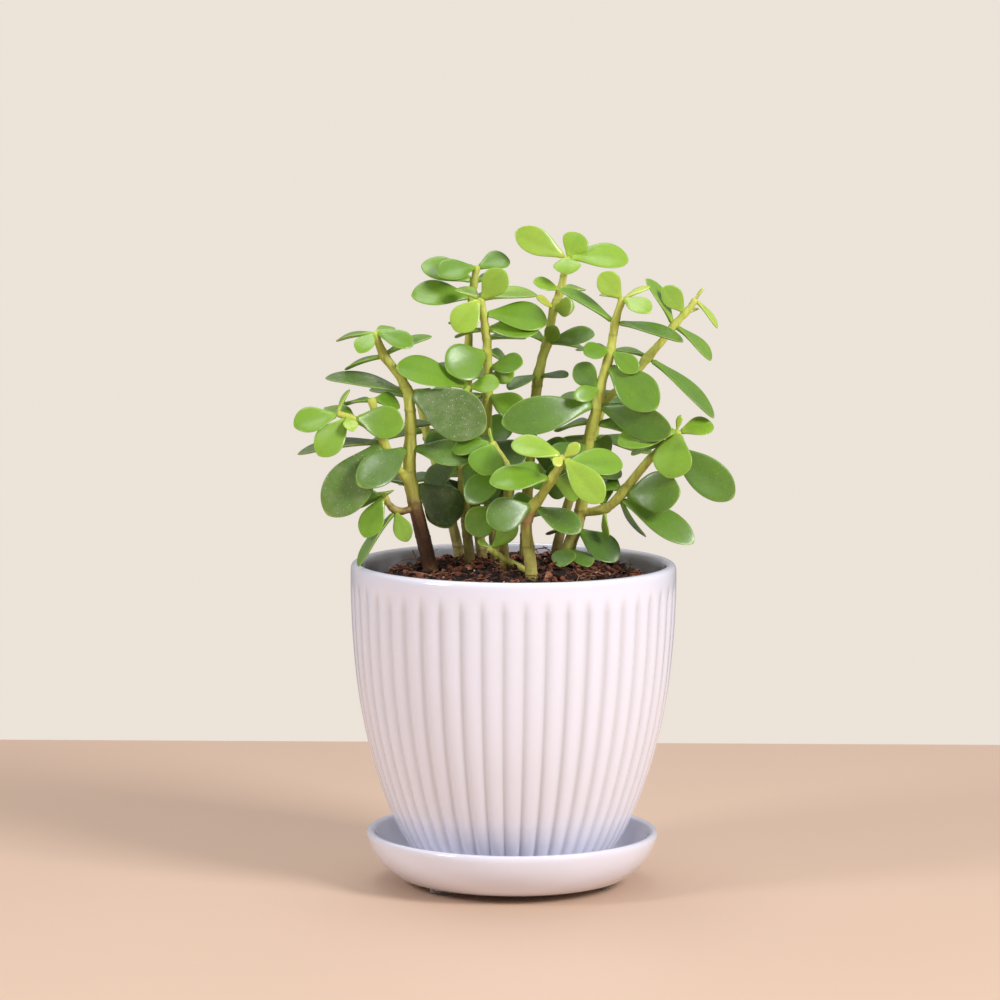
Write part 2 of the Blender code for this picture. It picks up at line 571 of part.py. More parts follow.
def soil_height(x, y):
    """The height of the mounded soil, with its lumps."""
    share = min(1.0, math.hypot(x, y) / 50.0)
    mound = SOIL_EDGE + SOIL_MOUND * (1.0 - share ** 2.2)
    broad = SOIL_LUMP * math.sin(0.31 * x + 0.9) * math.cos(0.27 * y - 0.4)
    small = SOIL_SMALL_LUMP * math.sin(0.63 * x - 0.5 * y)
    return mound + (broad + small) * (1.0 - share ** 6)


def make_soil(collection, cutters, material):
    """The soil: it fills the pot, mounds up in the middle and has a hole for every stem."""
    mesh = bpy.data.meshes.new("soil")
    shape = bmesh.new()
    rows = []
    edge = radius_inside(SOIL_EDGE) - GAP
    for share in SOIL_RINGS:
        rows.append([(share * edge, i, None) for i in range(SOIL_SEGMENTS)])
    for height in SOIL_SIDE_HEIGHTS:
        inside = radius_inside(height) - 2 * GAP
        rows.append([(inside, i, height) for i in range(SOIL_SEGMENTS)])
    grid = []
    for row in rows:
        ring = []
        for radius, index, height in row:
            angle = 2 * math.pi * index / SOIL_SEGMENTS
            x = radius * math.cos(angle)
            y = radius * math.sin(angle)
            z = soil_height(x, y) if height is None else height
            ring.append(shape.verts.new((x * MM, y * MM, z * MM)))
        grid.append(ring)
    top = shape.verts.new((0, 0, soil_height(0, 0) * MM))
    bottom = shape.verts.new((0, 0, SOIL_BOTTOM * MM))
    for i in range(SOIL_SEGMENTS):
        j = (i + 1) % SOIL_SEGMENTS
        shape.faces.new((top, grid[0][i], grid[0][j]))
        shape.faces.new((bottom, grid[-1][j], grid[-1][i]))
        for upper, lower in zip(grid, grid[1:]):
            shape.faces.new((upper[i], lower[i], lower[j], upper[j]))
    bmesh.ops.recalc_face_normals(shape, faces=shape.faces)
    shape.to_mesh(mesh)
    shape.free()
    soil = add_object("soil", mesh, collection, material)
    holes = [add_object(f"{name}_hole", tube_mesh(branches[0], spare=HOLE_SPARE), cutters, material)
             for name, branches in STEMS.items()]
    return join_bodies(soil, holes, "DIFFERENCE")


class Blade:
    """One leaf that can be eased aside while the crown is laid out."""

    def __init__(self, group, leaf, stem_point, stem_axis, stem_radius):
        self.group = group
        self.width = leaf.width
        self.face = Vector(leaf.face)
        reach = Vector(leaf.tip)
        away = reach - reach.dot(stem_axis) * stem_axis
        if away.length < 0.3 * reach.length:
            away = reach
        self.away = away.normalized()
        self.root = stem_point + self.away * 0.5 * stem_radius
        self.tip = stem_point + reach
        self.wanted = self.tip.copy()

    def frame(self):
        """The leaf's run, its side and its upper normal."""
        run = self.tip - self.root
        side = run.cross(self.face).normalized()
        return run, side, side.cross(run).normalized()

    def middle(self):
        """A point in the middle of the blade."""
        return self.root.lerp(self.tip, 0.6)

    def points(self, spare=0.0):
        """The root, the rings of four points and the tip."""
        run, side, normal = self.frame()
        length = run.length
        thick = 0.45 + 0.035 * self.width
        points = [self.root - run.normalized() * spare * 0.5]
        for share, breadth in LEAF_OUTLINE:
            half = max(0.55, 0.5 * self.width * breadth) + spare
            depth = thick * (1.0 - 0.35 * share) + spare
            middle = self.root + run * share + normal * LEAF_ARCH * length * 4 * share * (1 - share)
            lift = normal * LEAF_CUP * half
            points += [middle + side * half + lift, middle + normal * depth,
                       middle - side * half + lift, middle - normal * depth]
        points.append(self.tip + run.normalized() * spare)
        return points

    def faces(self):
        """The faces that join the root, the rings and the tip."""
        rings = len(LEAF_OUTLINE)
        last = 4 * rings + 1
        faces = []
        for k in range(4):
            m = (k + 1) % 4
            faces.append((0, 1 + k, 1 + m))
            faces.append((last, last - 4 + m, last - 4 + k))
            for ring in range(rings - 1):
                a = 1 + 4 * ring
                faces.append((a + k, a + 4 + k, a + 4 + m, a + m))
        return faces

    def tree(self, spare=0.0):
        """A search tree over the blade, without the stretch that grows out of the collar."""
        free = [face for face in self.faces() if min(face) > 4]
        return BVHTree.FromPolygons([tuple(p) for p in self.points(spare)], free)


class Place(NamedTuple):
    """A place on a stem: which branch, how far along it, and the point, direction and radius there."""

    branch: int
    along: float
    point: Vector
    axis: Vector
    radius: float


def stem_place(name, at):
    """The nearest place to a point on the lines of a stem's branches."""
    best = None
    nearest = math.inf
    for number, branch in enumerate(STEMS[name]):
        rows = smooth_route(branch)
        along = 0.0
        for start, end in zip(rows, rows[1:]):
            run = end.to_3d() - start.to_3d()
            share = (Vector(at) - start.to_3d()).dot(run) / run.length_squared
            share = min(1.0, max(0.0, share))
            point = start.lerp(end, share)
            distance = (Vector(at) - point.to_3d()).length
            if distance < nearest:
                nearest = distance
                best = Place(number, along + share * run.length, point.to_3d(), run.normalized(), point[3])
            along += run.length
    return best


def collar_route(name, places):
    """The stretch of a stem that a collar wraps: from below its first whorl to above its last."""
    rows = smooth_route(STEMS[name][places[0].branch])
    lowest = min(place.along for place in places) - COLLAR_OVERHANG
    highest = max(place.along for place in places) + COLLAR_OVERHANG
    route = []
    along = 0.0
    for start, end in zip(rows, rows[1:]):
        length = (end.to_3d() - start.to_3d()).length
        for wanted in (lowest, highest):
            if along <= wanted < along + length:
                route.append(start.lerp(end, (wanted - along) / length))
        along += length
        if lowest + 0.6 < along < highest - 0.6:
            route.append(end)
    if highest < along - TIP_REACH:
        return route
    route = [row for row in route if (row.to_3d() - rows[-1].to_3d()).length > 0.6]
    route.append(rows[-1])
    return route


def lay_out_blades():
    """A blade for every leaf, standing on its stem."""
    blades = []
    for group, (stem, whorls) in LEAF_GROUPS.items():
        for whorl in whorls:
            place = stem_place(stem, whorl.at)
            blades += [Blade(group, leaf, place.point, place.axis, place.radius) for leaf in whorl.leaves]
    return blades


def parting(first, second):
    """The direction in which the first leaf moves to clear the second."""
    between = first.middle() - second.middle()
    normal = first.frame()[2]
    other = second.frame()[2]
    if normal.dot(other) < 0:
        other = -other
    stacked = abs(normal.dot(other)) ** 2
    common = (normal + other).normalized()
    side = 1.0 if between.dot(common) >= 0 else -1.0
    return (common * side * stacked + between.normalized() * (1.0 - stacked)).normalized()


def boxes_meet(first, second):
    """Whether two boxes, each a pair of corners, share any space."""
    return all(first[0][i] <= second[1][i] and second[0][i] <= first[1][i] for i in range(3))


def box_of(points):
    """The corners of the box round some points."""
    return ([min(p[i] for p in points) for i in range(3)], [max(p[i] for p in points) for i in range(3)])


def ease_apart(blades, fixed):
    """Turn each leaf about its root until no leaf passes through another, a stem, the soil or the pot."""
    still = 0
    for _ in range(EASE_ROUNDS):
        still = 0
        trees = [blade.tree(SPARE) for blade in blades]
        slim = [blade.tree(SPARE * 0.5) for blade in blades]
        boxes = [box_of(blade.points(SPARE)) for blade in blades]
        moves = [Vector((0, 0, 0)) for _ in blades]
        for i, first in enumerate(blades):
            for j in range(i + 1, len(blades)):
                if boxes_meet(boxes[i], boxes[j]) and trees[i].overlap(trees[j]):
                    way = parting(first, blades[j])
                    moves[i] += way
                    moves[j] -= way
                    still += 1
            for tree, upward in fixed:
                if slim[i].overlap(tree):
                    near = tree.find_nearest(first.middle())[0]
                    way = Vector((0, 0, 1)) if upward else (first.middle() - near).normalized()
                    moves[i] += way
                    first.root += first.away * EASE_ROOT_STEP
                    still += 1
        for blade, move in zip(blades, moves):
            if move.length > 0:
                blade.tip += move.normalized() * EASE_STEP
        if still == 0:
            break
    return still


def stem_trees():
    """Search trees over the stems, fattened by the collars that they carry."""
    trees = []
    for branches in STEMS.values():
        for branch in branches:
            mesh = tube_mesh(branch, spare=HOLE_SPARE + COLLAR_WALL)
            points = [tuple(vertex.co / MM) for vertex in mesh.vertices]
            trees.append(BVHTree.FromPolygons(points, [tuple(face.vertices) for face in mesh.polygons]))
    return trees


def tree_of(item):
    """A search tree over an object's surface, in millimetres."""
    mesh = item.data
    points = [tuple(item.matrix_world @ v.co / MM) for v in mesh.vertices]
    return BVHTree.FromPolygons(points, [tuple(p.vertices) for p in mesh.polygons])


def blade_mesh(blade):
    """The closed mesh of one leaf."""
    mesh = bpy.data.meshes.new("blade")
    shape = bmesh.new()
    verts = [shape.verts.new(point * MM) for point in blade.points()]
    for face in blade.faces():
        shape.faces.new([verts[i] for i in face])
    bmesh.ops.triangulate(shape, faces=shape.faces)
    bmesh.ops.recalc_face_normals(shape, faces=shape.faces)
    shape.to_mesh(mesh)
    shape.free()
    return mesh


def make_leaf_group(name, blades, collection, cutters, material):
    """One node of leaves: they grow out of a thin collar that wraps the stem with a small clearance."""
    stem, whorls = LEAF_GROUPS[name]
    places = [stem_place(stem, whorl.at) for whorl in whorls]
    collar_mesh = tube_mesh(collar_route(stem, places), HOLE_SPARE + COLLAR_WALL, pieces=1)
    collar = add_object(name, collar_mesh, collection, material)
    leaves = [add_object("blade", blade_mesh(blade), cutters, material) for blade in blades]
    collar = join_bodies(collar, leaves, "UNION")
    holes = [add_object("hole", tube_mesh(branch, spare=HOLE_SPARE), cutters, material)
             for branch in STEMS[stem]]
    return join_bodies(collar, holes, "DIFFERENCE")


def main():
    """Build the potted plant."""
    clear_scene()
    parts = new_collection("potted_jade_plant")
    cutters = new_collection("cutters")
    glaze = make_material("glaze", (0.86, 0.84, 0.87), 0.12)
    rubber = make_material("clear_rubber", (0.75, 0.76, 0.78), 0.3)
    earth = make_material("earth", (0.05, 0.022, 0.012), 0.95)
    bark = make_material("stem", (0.32, 0.36, 0.07), 0.55)
    leaf = make_material("leaf", (0.14, 0.33, 0.04), 0.35)

    pot = make_pot(parts, glaze)
    make_saucer(parts, glaze)
    for number, angle in enumerate(BUMPER_ANGLES, start=1):
        make_bumper(number, angle, parts, rubber)
    for name, branches in STEMS.items():
        make_stem(name, branches, parts, cutters, bark)
    soil = make_soil(parts, cutters, earth)

    bpy.context.view_layer.update()
    blades = lay_out_blades()
    fixed = [(tree, False) for tree in stem_trees()] + [(tree_of(soil), True), (tree_of(pot), True)]
    ease_apart(blades, fixed)
    for name in LEAF_GROUPS:
        make_leaf_group(name, [blade for blade in blades if blade.group == name], parts, cutters, leaf)


if __name__ == "__main__":
    main()
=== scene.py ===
"""The looks of a young jade plant in a ribbed, glazed pot that stands on its saucer.

Lengths are in metres, Z is up, the pot's axis is the Z axis and the front faces -Y.
"""

import logging
import math
import random
from dataclasses import dataclass, field
from enum import Enum

import bmesh
import bpy
from mathutils import Matrix, Vector, noise
from mathutils.bvhtree import BVHTree


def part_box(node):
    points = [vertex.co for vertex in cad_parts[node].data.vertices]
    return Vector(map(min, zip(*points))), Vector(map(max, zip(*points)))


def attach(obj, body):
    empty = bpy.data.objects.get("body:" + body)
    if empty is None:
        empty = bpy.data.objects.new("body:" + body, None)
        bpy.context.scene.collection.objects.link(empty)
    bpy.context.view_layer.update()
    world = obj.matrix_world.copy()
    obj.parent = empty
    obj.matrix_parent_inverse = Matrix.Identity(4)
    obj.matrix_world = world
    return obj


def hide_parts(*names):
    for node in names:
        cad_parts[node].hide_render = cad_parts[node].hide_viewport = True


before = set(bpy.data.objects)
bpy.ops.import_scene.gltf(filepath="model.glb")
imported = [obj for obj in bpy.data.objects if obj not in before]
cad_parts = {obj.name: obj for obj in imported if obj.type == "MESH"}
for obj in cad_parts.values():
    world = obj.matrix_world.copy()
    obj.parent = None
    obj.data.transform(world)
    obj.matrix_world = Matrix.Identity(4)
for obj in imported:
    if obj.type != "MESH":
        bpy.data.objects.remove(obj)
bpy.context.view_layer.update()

log = logging.getLogger("jade_plant")

MM = 0.001
WELD = 0.000002
BODY = "root"

Colour = tuple[float, float, float, float]
Profile = list[tuple[float, float]]


# ---------------------------------------------------------------- small helpers

def srgb(red: float, green: float, blue: float) -> Colour:
    """A colour in 0 to 255 display values as the linear colour that a shader takes.

    Args:
        red: the red channel.
        green: the green channel.
        blue: the blue channel.

    Returns:
        The linear colour, fully opaque.
    """
    def channel(value: float) -> float:
        """One display channel, made linear."""
        share = value / 255.0
        return share / 12.92 if share <= 0.04045 else ((share + 0.055) / 1.055) ** 2.4
    return (channel(red), channel(green), channel(blue), 1.0)


def smooth_step(low: float, high: float, value: float) -> float:
    """A soft switch that is 0 below low and 1 above high."""
    share = min(1.0, max(0.0, (value - low) / (high - low)))
    return share * share * (3.0 - 2.0 * share)


def smooth_line(points: Profile, pieces: int) -> Profile:
    """A finer line that passes smoothly through the points.

    Args:
        points: the points of the outline, in order.
        pieces: how many pieces each stretch is cut into.

    Returns:
        The points of the finer line.
    """
    rows = [Vector((*point, 0.0)) for point in points]
    rows = [2 * rows[0] - rows[1]] + rows + [2 * rows[-1] - rows[-2]]
    result: Profile = []
    for before, start, end, after in zip(rows, rows[1:], rows[2:], rows[3:]):
        for step in range(pieces):
            t = step / pieces
            point = 0.5 * (2 * start + (end - before) * t + (2 * before - 5 * start + 4 * end - after) * t * t
                           + (3 * start - before - 3 * end + after) * t ** 3)
            result.append((point.x, point.y))
    result.append((rows[-2].x, rows[-2].y))
    return result


def radius_at(line: Profile, height: float) -> float:
    """The radius of an outline at a height, in the outline's own units.

    Args:
        line: the outline.
        height: the height.

    Returns:
        The radius there, held at the outline's ends.
    """
    ordered = sorted(line, key=lambda point: point[1])
    if height <= ordered[0][1]:
        return ordered[0][0]
    for (r0, z0), (r1, z1) in zip(ordered, ordered[1:]):
        if z0 <= height <= z1 and z1 > z0:
            return r0 + (r1 - r0) * (height - z0) / (z1 - z0)
    return ordered[-1][0]


def clear_selection() -> None:
    """Deselect everything before a primitive is added."""
    for item in list(bpy.context.selected_objects):
        item.select_set(False)


def take(piece: bpy.types.Object) -> None:
    """Make one object the only selected one, and the active one.

    Args:
        piece: the object.
    """
    clear_selection()
    piece.select_set(True)
    bpy.context.view_layer.objects.active = piece


def name_newest(name: str) -> bpy.types.Object:
    """Name the object that an operator has just added.

    Args:
        name: its name, which its mesh gets too.

    Returns:
        The object.
    """
    piece = bpy.context.object
    piece.name = name
    piece.data.name = name
    return piece


def link_mesh(name: str, mesh: bpy.types.Mesh) -> bpy.types.Object:
    """An object at the origin that holds the mesh.

    Args:
        name: the object's name.
        mesh: the mesh.

    Returns:
        The object.
    """
    piece = bpy.data.objects.new(name, mesh)
    bpy.context.scene.collection.objects.link(piece)
    return piece


def settle(piece: bpy.types.Object) -> None:
    """Move the object's own place, turn and scale into its mesh."""
    take(piece)
    bpy.ops.object.transform_apply(location=True, rotation=True, scale=True)


def apply_modifier(piece: bpy.types.Object, modifier: bpy.types.Modifier) -> None:
    """Apply one modifier to its object."""
    take(piece)
    bpy.ops.object.modifier_apply(modifier=modifier.name)


def join_all(name: str, pieces: list[bpy.types.Object]) -> bpy.types.Object:
    """Join the objects into the first one and name it.

    Args:
        name: the joined object's name.
        pieces: the objects.

    Returns:
        The first object, which holds them all.
    """
    take(pieces[0])
    for piece in pieces[1:]:
        piece.select_set(True)
    if len(pieces) > 1:
        bpy.ops.object.join()
    pieces[0].name = name
    pieces[0].data.name = name
    return pieces[0]


def shade_round(piece: bpy.types.Object, angle: float = 50.0) -> None:
    """Shade smooth, with edges sharper than the angle left crisp."""
    take(piece)
    bpy.ops.object.shade_smooth_by_angle(angle=math.radians(angle))


def turn(name: str, profile: Profile, steps: int) -> bpy.types.Object:
    """Turn a profile of (radius, height) points, in millimetres, about the pot's axis.

    Args:
        name: the new object's name.
        profile: the outline, drawn point by point; it is closed where its ends meet.
        steps: how many faces go round.

    Returns:
        The turned object, closed, with its faces pointing outwards.
    """
    clear_selection()
    bpy.ops.mesh.primitive_plane_add(size=MM, location=(0.0, 0.0, 0.0))
    piece = name_newest(name)
    bpy.ops.object.mode_set(mode="EDIT")
    bpy.ops.mesh.select_all(action="SELECT")
    bpy.ops.mesh.merge(type="CENTER")
    radius, height = profile[0]
    bpy.ops.transform.translate(value=(radius * MM, 0.0, height * MM))
    for (r0, z0), (r1, z1) in zip(profile, profile[1:]):
        step = ((r1 - r0) * MM, 0.0, (z1 - z0) * MM)
        bpy.ops.mesh.extrude_region_move(TRANSFORM_OT_translate={"value": step})
    bpy.ops.mesh.select_all(action="SELECT")
    bpy.ops.mesh.spin(steps=steps, angle=math.tau, center=(0.0, 0.0, 0.0), axis=(0.0, 0.0, 1.0))
    bpy.ops.mesh.select_all(action="SELECT")
    bpy.ops.mesh.remove_doubles(threshold=WELD)
    bpy.ops.mesh.normals_make_consistent(inside=False)
    bpy.ops.object.mode_set(mode="OBJECT")
    return piece


def float_attribute(mesh: bpy.types.Mesh, name: str, values: list[float]) -> None:
    """Store one number per vertex under a name."""
    attribute = mesh.attributes.get(name) or mesh.attributes.new(name, "FLOAT", "POINT")
    attribute.data.foreach_set("value", values)


def finish_mesh(mesh: bpy.types.Mesh, values: dict[str, list[float]]) -> None:
    """Store every list of numbers on a mesh and shade all its faces smooth."""
    for name, numbers in values.items():
        float_attribute(mesh, name, numbers)
    mesh.polygons.foreach_set("use_smooth", [True] * len(mesh.polygons))


def nodes_called(*starts: str) -> list[str]:
    """The construction's nodes whose names start in one of these ways, in order of name."""
    return sorted(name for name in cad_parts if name.startswith(starts))


def tree_of_node(name: str) -> BVHTree:
    """A search tree over a construction node's surface."""
    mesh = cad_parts[name].data
    return BVHTree.FromPolygons([vertex.co.copy() for vertex in mesh.vertices],
                                [tuple(face.vertices) for face in mesh.polygons])


def dress(piece: bpy.types.Object, finish: bpy.types.Material, slot: str, *nodes: str) -> bpy.types.Object:
    """Give a piece its finish and its place in the frame.

    Args:
        piece: the finished piece.
        finish: the material it wears.
        slot: a material slot's name, which is not used.
        *nodes: the construction's nodes that it stands for.

    Returns:
        The same piece.
    """
    piece.data.materials.clear()
    piece.data.materials.append(finish)
    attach(piece, BODY)
    if nodes:
        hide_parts(*nodes)
    log.info("%s: %d faces", piece.name, len(piece.data.polygons))
    return piece


# ---------------------------------------------------------------- shader wiring

class Wiring:
    """Adds shader nodes to one tree and links them."""

    def __init__(self, tree: bpy.types.NodeTree) -> None:
        """Work on this tree."""
        self.tree = tree

    def add(self, kind: str, sockets: dict | None = None, **settings: object) -> bpy.types.Node:
        """Add a node.

        Args:
            kind: the node's type.
            sockets: input name or number to a value, or to an output socket that feeds it.
            **settings: the node's own properties.

        Returns:
            The node.
        """
        node = self.tree.nodes.new(kind)
        for key, value in settings.items():
            setattr(node, key, value)
        self.feed_all(node, sockets or {})
        return node

    def feed_all(self, node: bpy.types.Node, sockets: dict) -> None:
        """Feed several of a node's inputs, each given by its name or number."""
        for key, value in sockets.items():
            self.feed(node.inputs[key], value)

    def feed(self, socket: bpy.types.NodeSocket, value: object) -> None:
        """Link an output to the socket, or set the socket's own value.

        Args:
            socket: the input.
            value: a value, or an output socket.
        """
        if isinstance(value, bpy.types.NodeSocket):
            self.tree.links.new(value, socket)
        else:
            socket.default_value = value

    def math(self, operation: str, *values: object, clamp: bool = False) -> bpy.types.NodeSocket:
        """The result of a Math node."""
        sockets = dict(enumerate(values))
        return self.add("ShaderNodeMath", sockets, operation=operation, use_clamp=clamp).outputs[0]

    def mix(self, share: object, first: object, second: object) -> bpy.types.NodeSocket:
        """A mix of two colours, the second by its share.

        Args:
            share: the second colour's share.
            first: the first colour.
            second: the second colour.

        Returns:
            The mixed colour's socket.
        """
        node = self.add("ShaderNodeMix", {0: share, 6: first, 7: second}, data_type="RGBA")
        return node.outputs[2]

    def ramp(self, share: object, *stops: tuple[float, Colour]) -> bpy.types.NodeSocket:
        """A colour ramp through the stops.

        Args:
            share: the place on the ramp.
            *stops: each stop's position and colour, in order.

        Returns:
            The ramp's colour socket.
        """
        node = self.add("ShaderNodeValToRGB")
        elements = node.color_ramp.elements
        elements[0].position, elements[0].color = stops[0]
        elements[1].position, elements[1].color = stops[-1]
        for position, colour in stops[1:-1]:
            elements.new(position).color = colour
        self.feed(node.inputs[0], share)
        return node.outputs[0]

    def range(self, value: object, low: float, high: float, to_low: float = 0.0,
              to_high: float = 1.0) -> bpy.types.NodeSocket:
        """A value moved smoothly from one range to another."""
        node = self.add("ShaderNodeMapRange", {0: value, 1: low, 2: high, 3: to_low, 4: to_high},
                        interpolation_type="SMOOTHSTEP")
        return node.outputs[0]

    def attribute(self, name: str) -> bpy.types.NodeSocket:
        """A number stored on the mesh."""
        return self.add("ShaderNodeAttribute", attribute_name=name).outputs["Fac"]

    def place(self, stretch: tuple[float, float, float] = (1.0, 1.0, 1.0)) -> bpy.types.NodeSocket:
        """Object coordinates, stretched along the axes."""
        source = self.add("ShaderNodeTexCoord").outputs["Object"]
        return self.add("ShaderNodeMapping", {"Vector": source, "Scale": stretch}).outputs[0]

    def noise(self, scale: float, detail: float = 2.0, place: object = None) -> bpy.types.NodeSocket:
        """Noise of this many lumps to the metre."""
        sockets = {"Vector": place or self.place(), "Scale": scale, "Detail": detail}
        return self.add("ShaderNodeTexNoise", sockets).outputs["Fac"]

    def group(self, tree: bpy.types.NodeTree, **values: object) -> bpy.types.NodeSocket:
        """The first output of a node group set with these values.

        Args:
            tree: the group.
            **values: the group's inputs.

        Returns:
            The output socket.
        """
        node = self.add("ShaderNodeGroup", node_tree=tree)
        self.feed_all(node, values)
        return node.outputs[0]

    def emboss(self, shader: bpy.types.Node, height: object, strength: float, distance: float) -> None:
        """Let a height bend the shader's normal, by a strength and over a distance in metres."""
        bump = self.add("ShaderNodeBump", {"Height": height, "Strength": strength, "Distance": distance})
        self.feed(shader.inputs["Normal"], bump.outputs[0])


def new_group(name: str, inputs: dict[str, float], output: str) -> tuple[bpy.types.NodeTree, Wiring, dict]:
    """Start a node group of number inputs and one number output.

    Args:
        name: the group's name.
        inputs: each input's name and usual value.
        output: the output's name.

    Returns:
        The group's tree, its wiring and its input sockets by name.
    """
    tree = bpy.data.node_groups.new(name, "ShaderNodeTree")
    for key, value in inputs.items():
        tree.interface.new_socket(key, in_out="INPUT", socket_type="NodeSocketFloat").default_value = value
    tree.interface.new_socket(output, in_out="OUTPUT", socket_type="NodeSocketFloat")
    wiring = Wiring(tree)
    source = wiring.add("NodeGroupInput")
    return tree, wiring, {key: source.outputs[key] for key in inputs}


def make_mottle_group() -> bpy.types.NodeTree:
    """Soft patches: broad noise with finer noise in it, drawn apart by a contrast.

    Returns:
        The group's tree.
    """
    tree, wiring, given = new_group("mottle", {"Scale": 100.0, "Contrast": 1.0}, "Mask")
    source = wiring.add("ShaderNodeTexCoord").outputs["Object"]
    broad = wiring.add("ShaderNodeTexNoise", {"Vector": source, "Scale": given["Scale"], "Detail": 3.0})
    fine_scale = wiring.math("MULTIPLY", given["Scale"], 5.3)
    fine = wiring.add("ShaderNodeTexNoise", {"Vector": source, "Scale": fine_scale, "Detail": 2.0})
    base = wiring.math("MULTIPLY", broad.outputs["Fac"], 0.6)
    blend = wiring.math("MULTIPLY_ADD", fine.outputs["Fac"], 0.4, base)
    centred = wiring.math("SUBTRACT", blend, 0.5)
    mask = wiring.math("ADD", wiring.math("MULTIPLY", centred, given["Contrast"]), 0.5, clamp=True)
    wiring.add("NodeGroupOutput", {"Mask": mask})
    return tree


def make_specks_group() -> bpy.types.NodeTree:
    """Sparse round specks: the middles of scattered cells.

    Returns:
        The group's tree.
    """
    tree, wiring, given = new_group("specks", {"Scale": 1000.0, "Size": 0.2, "Share": 0.3}, "Mask")
    source = wiring.add("ShaderNodeTexCoord").outputs["Object"]
    cells = wiring.add("ShaderNodeTexVoronoi", {"Vector": source, "Scale": given["Scale"]})
    near = wiring.math("LESS_THAN", cells.outputs["Distance"], given["Size"])
    pick = wiring.add("ShaderNodeSeparateColor", {"Color": cells.outputs["Color"]})
    chosen = wiring.math("LESS_THAN", pick.outputs[0], given["Share"])
    wiring.add("NodeGroupOutput", {"Mask": wiring.math("MULTIPLY", near, chosen)})
    return tree


def new_material(name: str) -> tuple[bpy.types.Material, Wiring, bpy.types.Node]:
    """An empty node material, its wiring and its shader.

    Args:
        name: the material's name.

    Returns:
        The material, its wiring and its shader node.
    """
    material = bpy.data.materials.new(name)
    material.use_nodes = True
    return material, Wiring(material.node_tree), material.node_tree.nodes["Principled BSDF"]


@dataclass(frozen=True)
class GlazeFinish:
    """White glaze with a lilac cast, darkened to grey in the grooves between the ribs by painted shade."""

    effects: dict[str, bpy.types.NodeTree]
    body: Colour = (0.80, 0.81, 0.92, 1.0)
    # painted shade: the grey that the grooves are darkened towards
    groove_shade: Colour = (0.54, 0.53, 0.57, 1.0)
    warm: Colour = (0.80, 0.79, 0.88, 1.0)

    def build(self) -> bpy.types.Material:
        """The glaze as a material.

        Returns:
            The material.
        """
        material, wiring, shader = new_material("white_glaze")
        cloud = wiring.group(self.effects["mottle"], Scale=38.0, Contrast=1.6)
        tinted = wiring.mix(wiring.range(cloud, 0.35, 0.75, 0.0, 0.35), self.body, self.warm)
        # painted shade in the grooves, by how deep each groove is pressed in
        groove_shade_share = wiring.math("MULTIPLY", wiring.attribute("hollow"), 0.6)
        wiring.feed_all(shader, {
            "Base Color": wiring.mix(groove_shade_share, tinted, self.groove_shade),
            "Roughness": wiring.range(cloud, 0.2, 0.8, 0.1, 0.2),
            "Coat Weight": 1.0,
            "Coat Roughness": 0.05})
        wiring.emboss(shader, wiring.noise(170.0, 1.0), 0.12, 0.0004)
        return material


@dataclass(frozen=True)
class BumperFinish:
    """Clear soft rubber."""

    tint: Colour = (0.86, 0.87, 0.88, 1.0)

    def build(self) -> bpy.types.Material:
        """The clear rubber as a material.

        Returns:
            The material.
        """
        material, wiring, shader = new_material("clear_rubber")
        wiring.feed_all(shader, {
            "Base Color": self.tint,
            "Roughness": wiring.range(wiring.noise(900.0, 2.0), 0.3, 0.7, 0.12, 0.3),
            "Transmission Weight": 0.85,
            "IOR": 1.45})
        return material


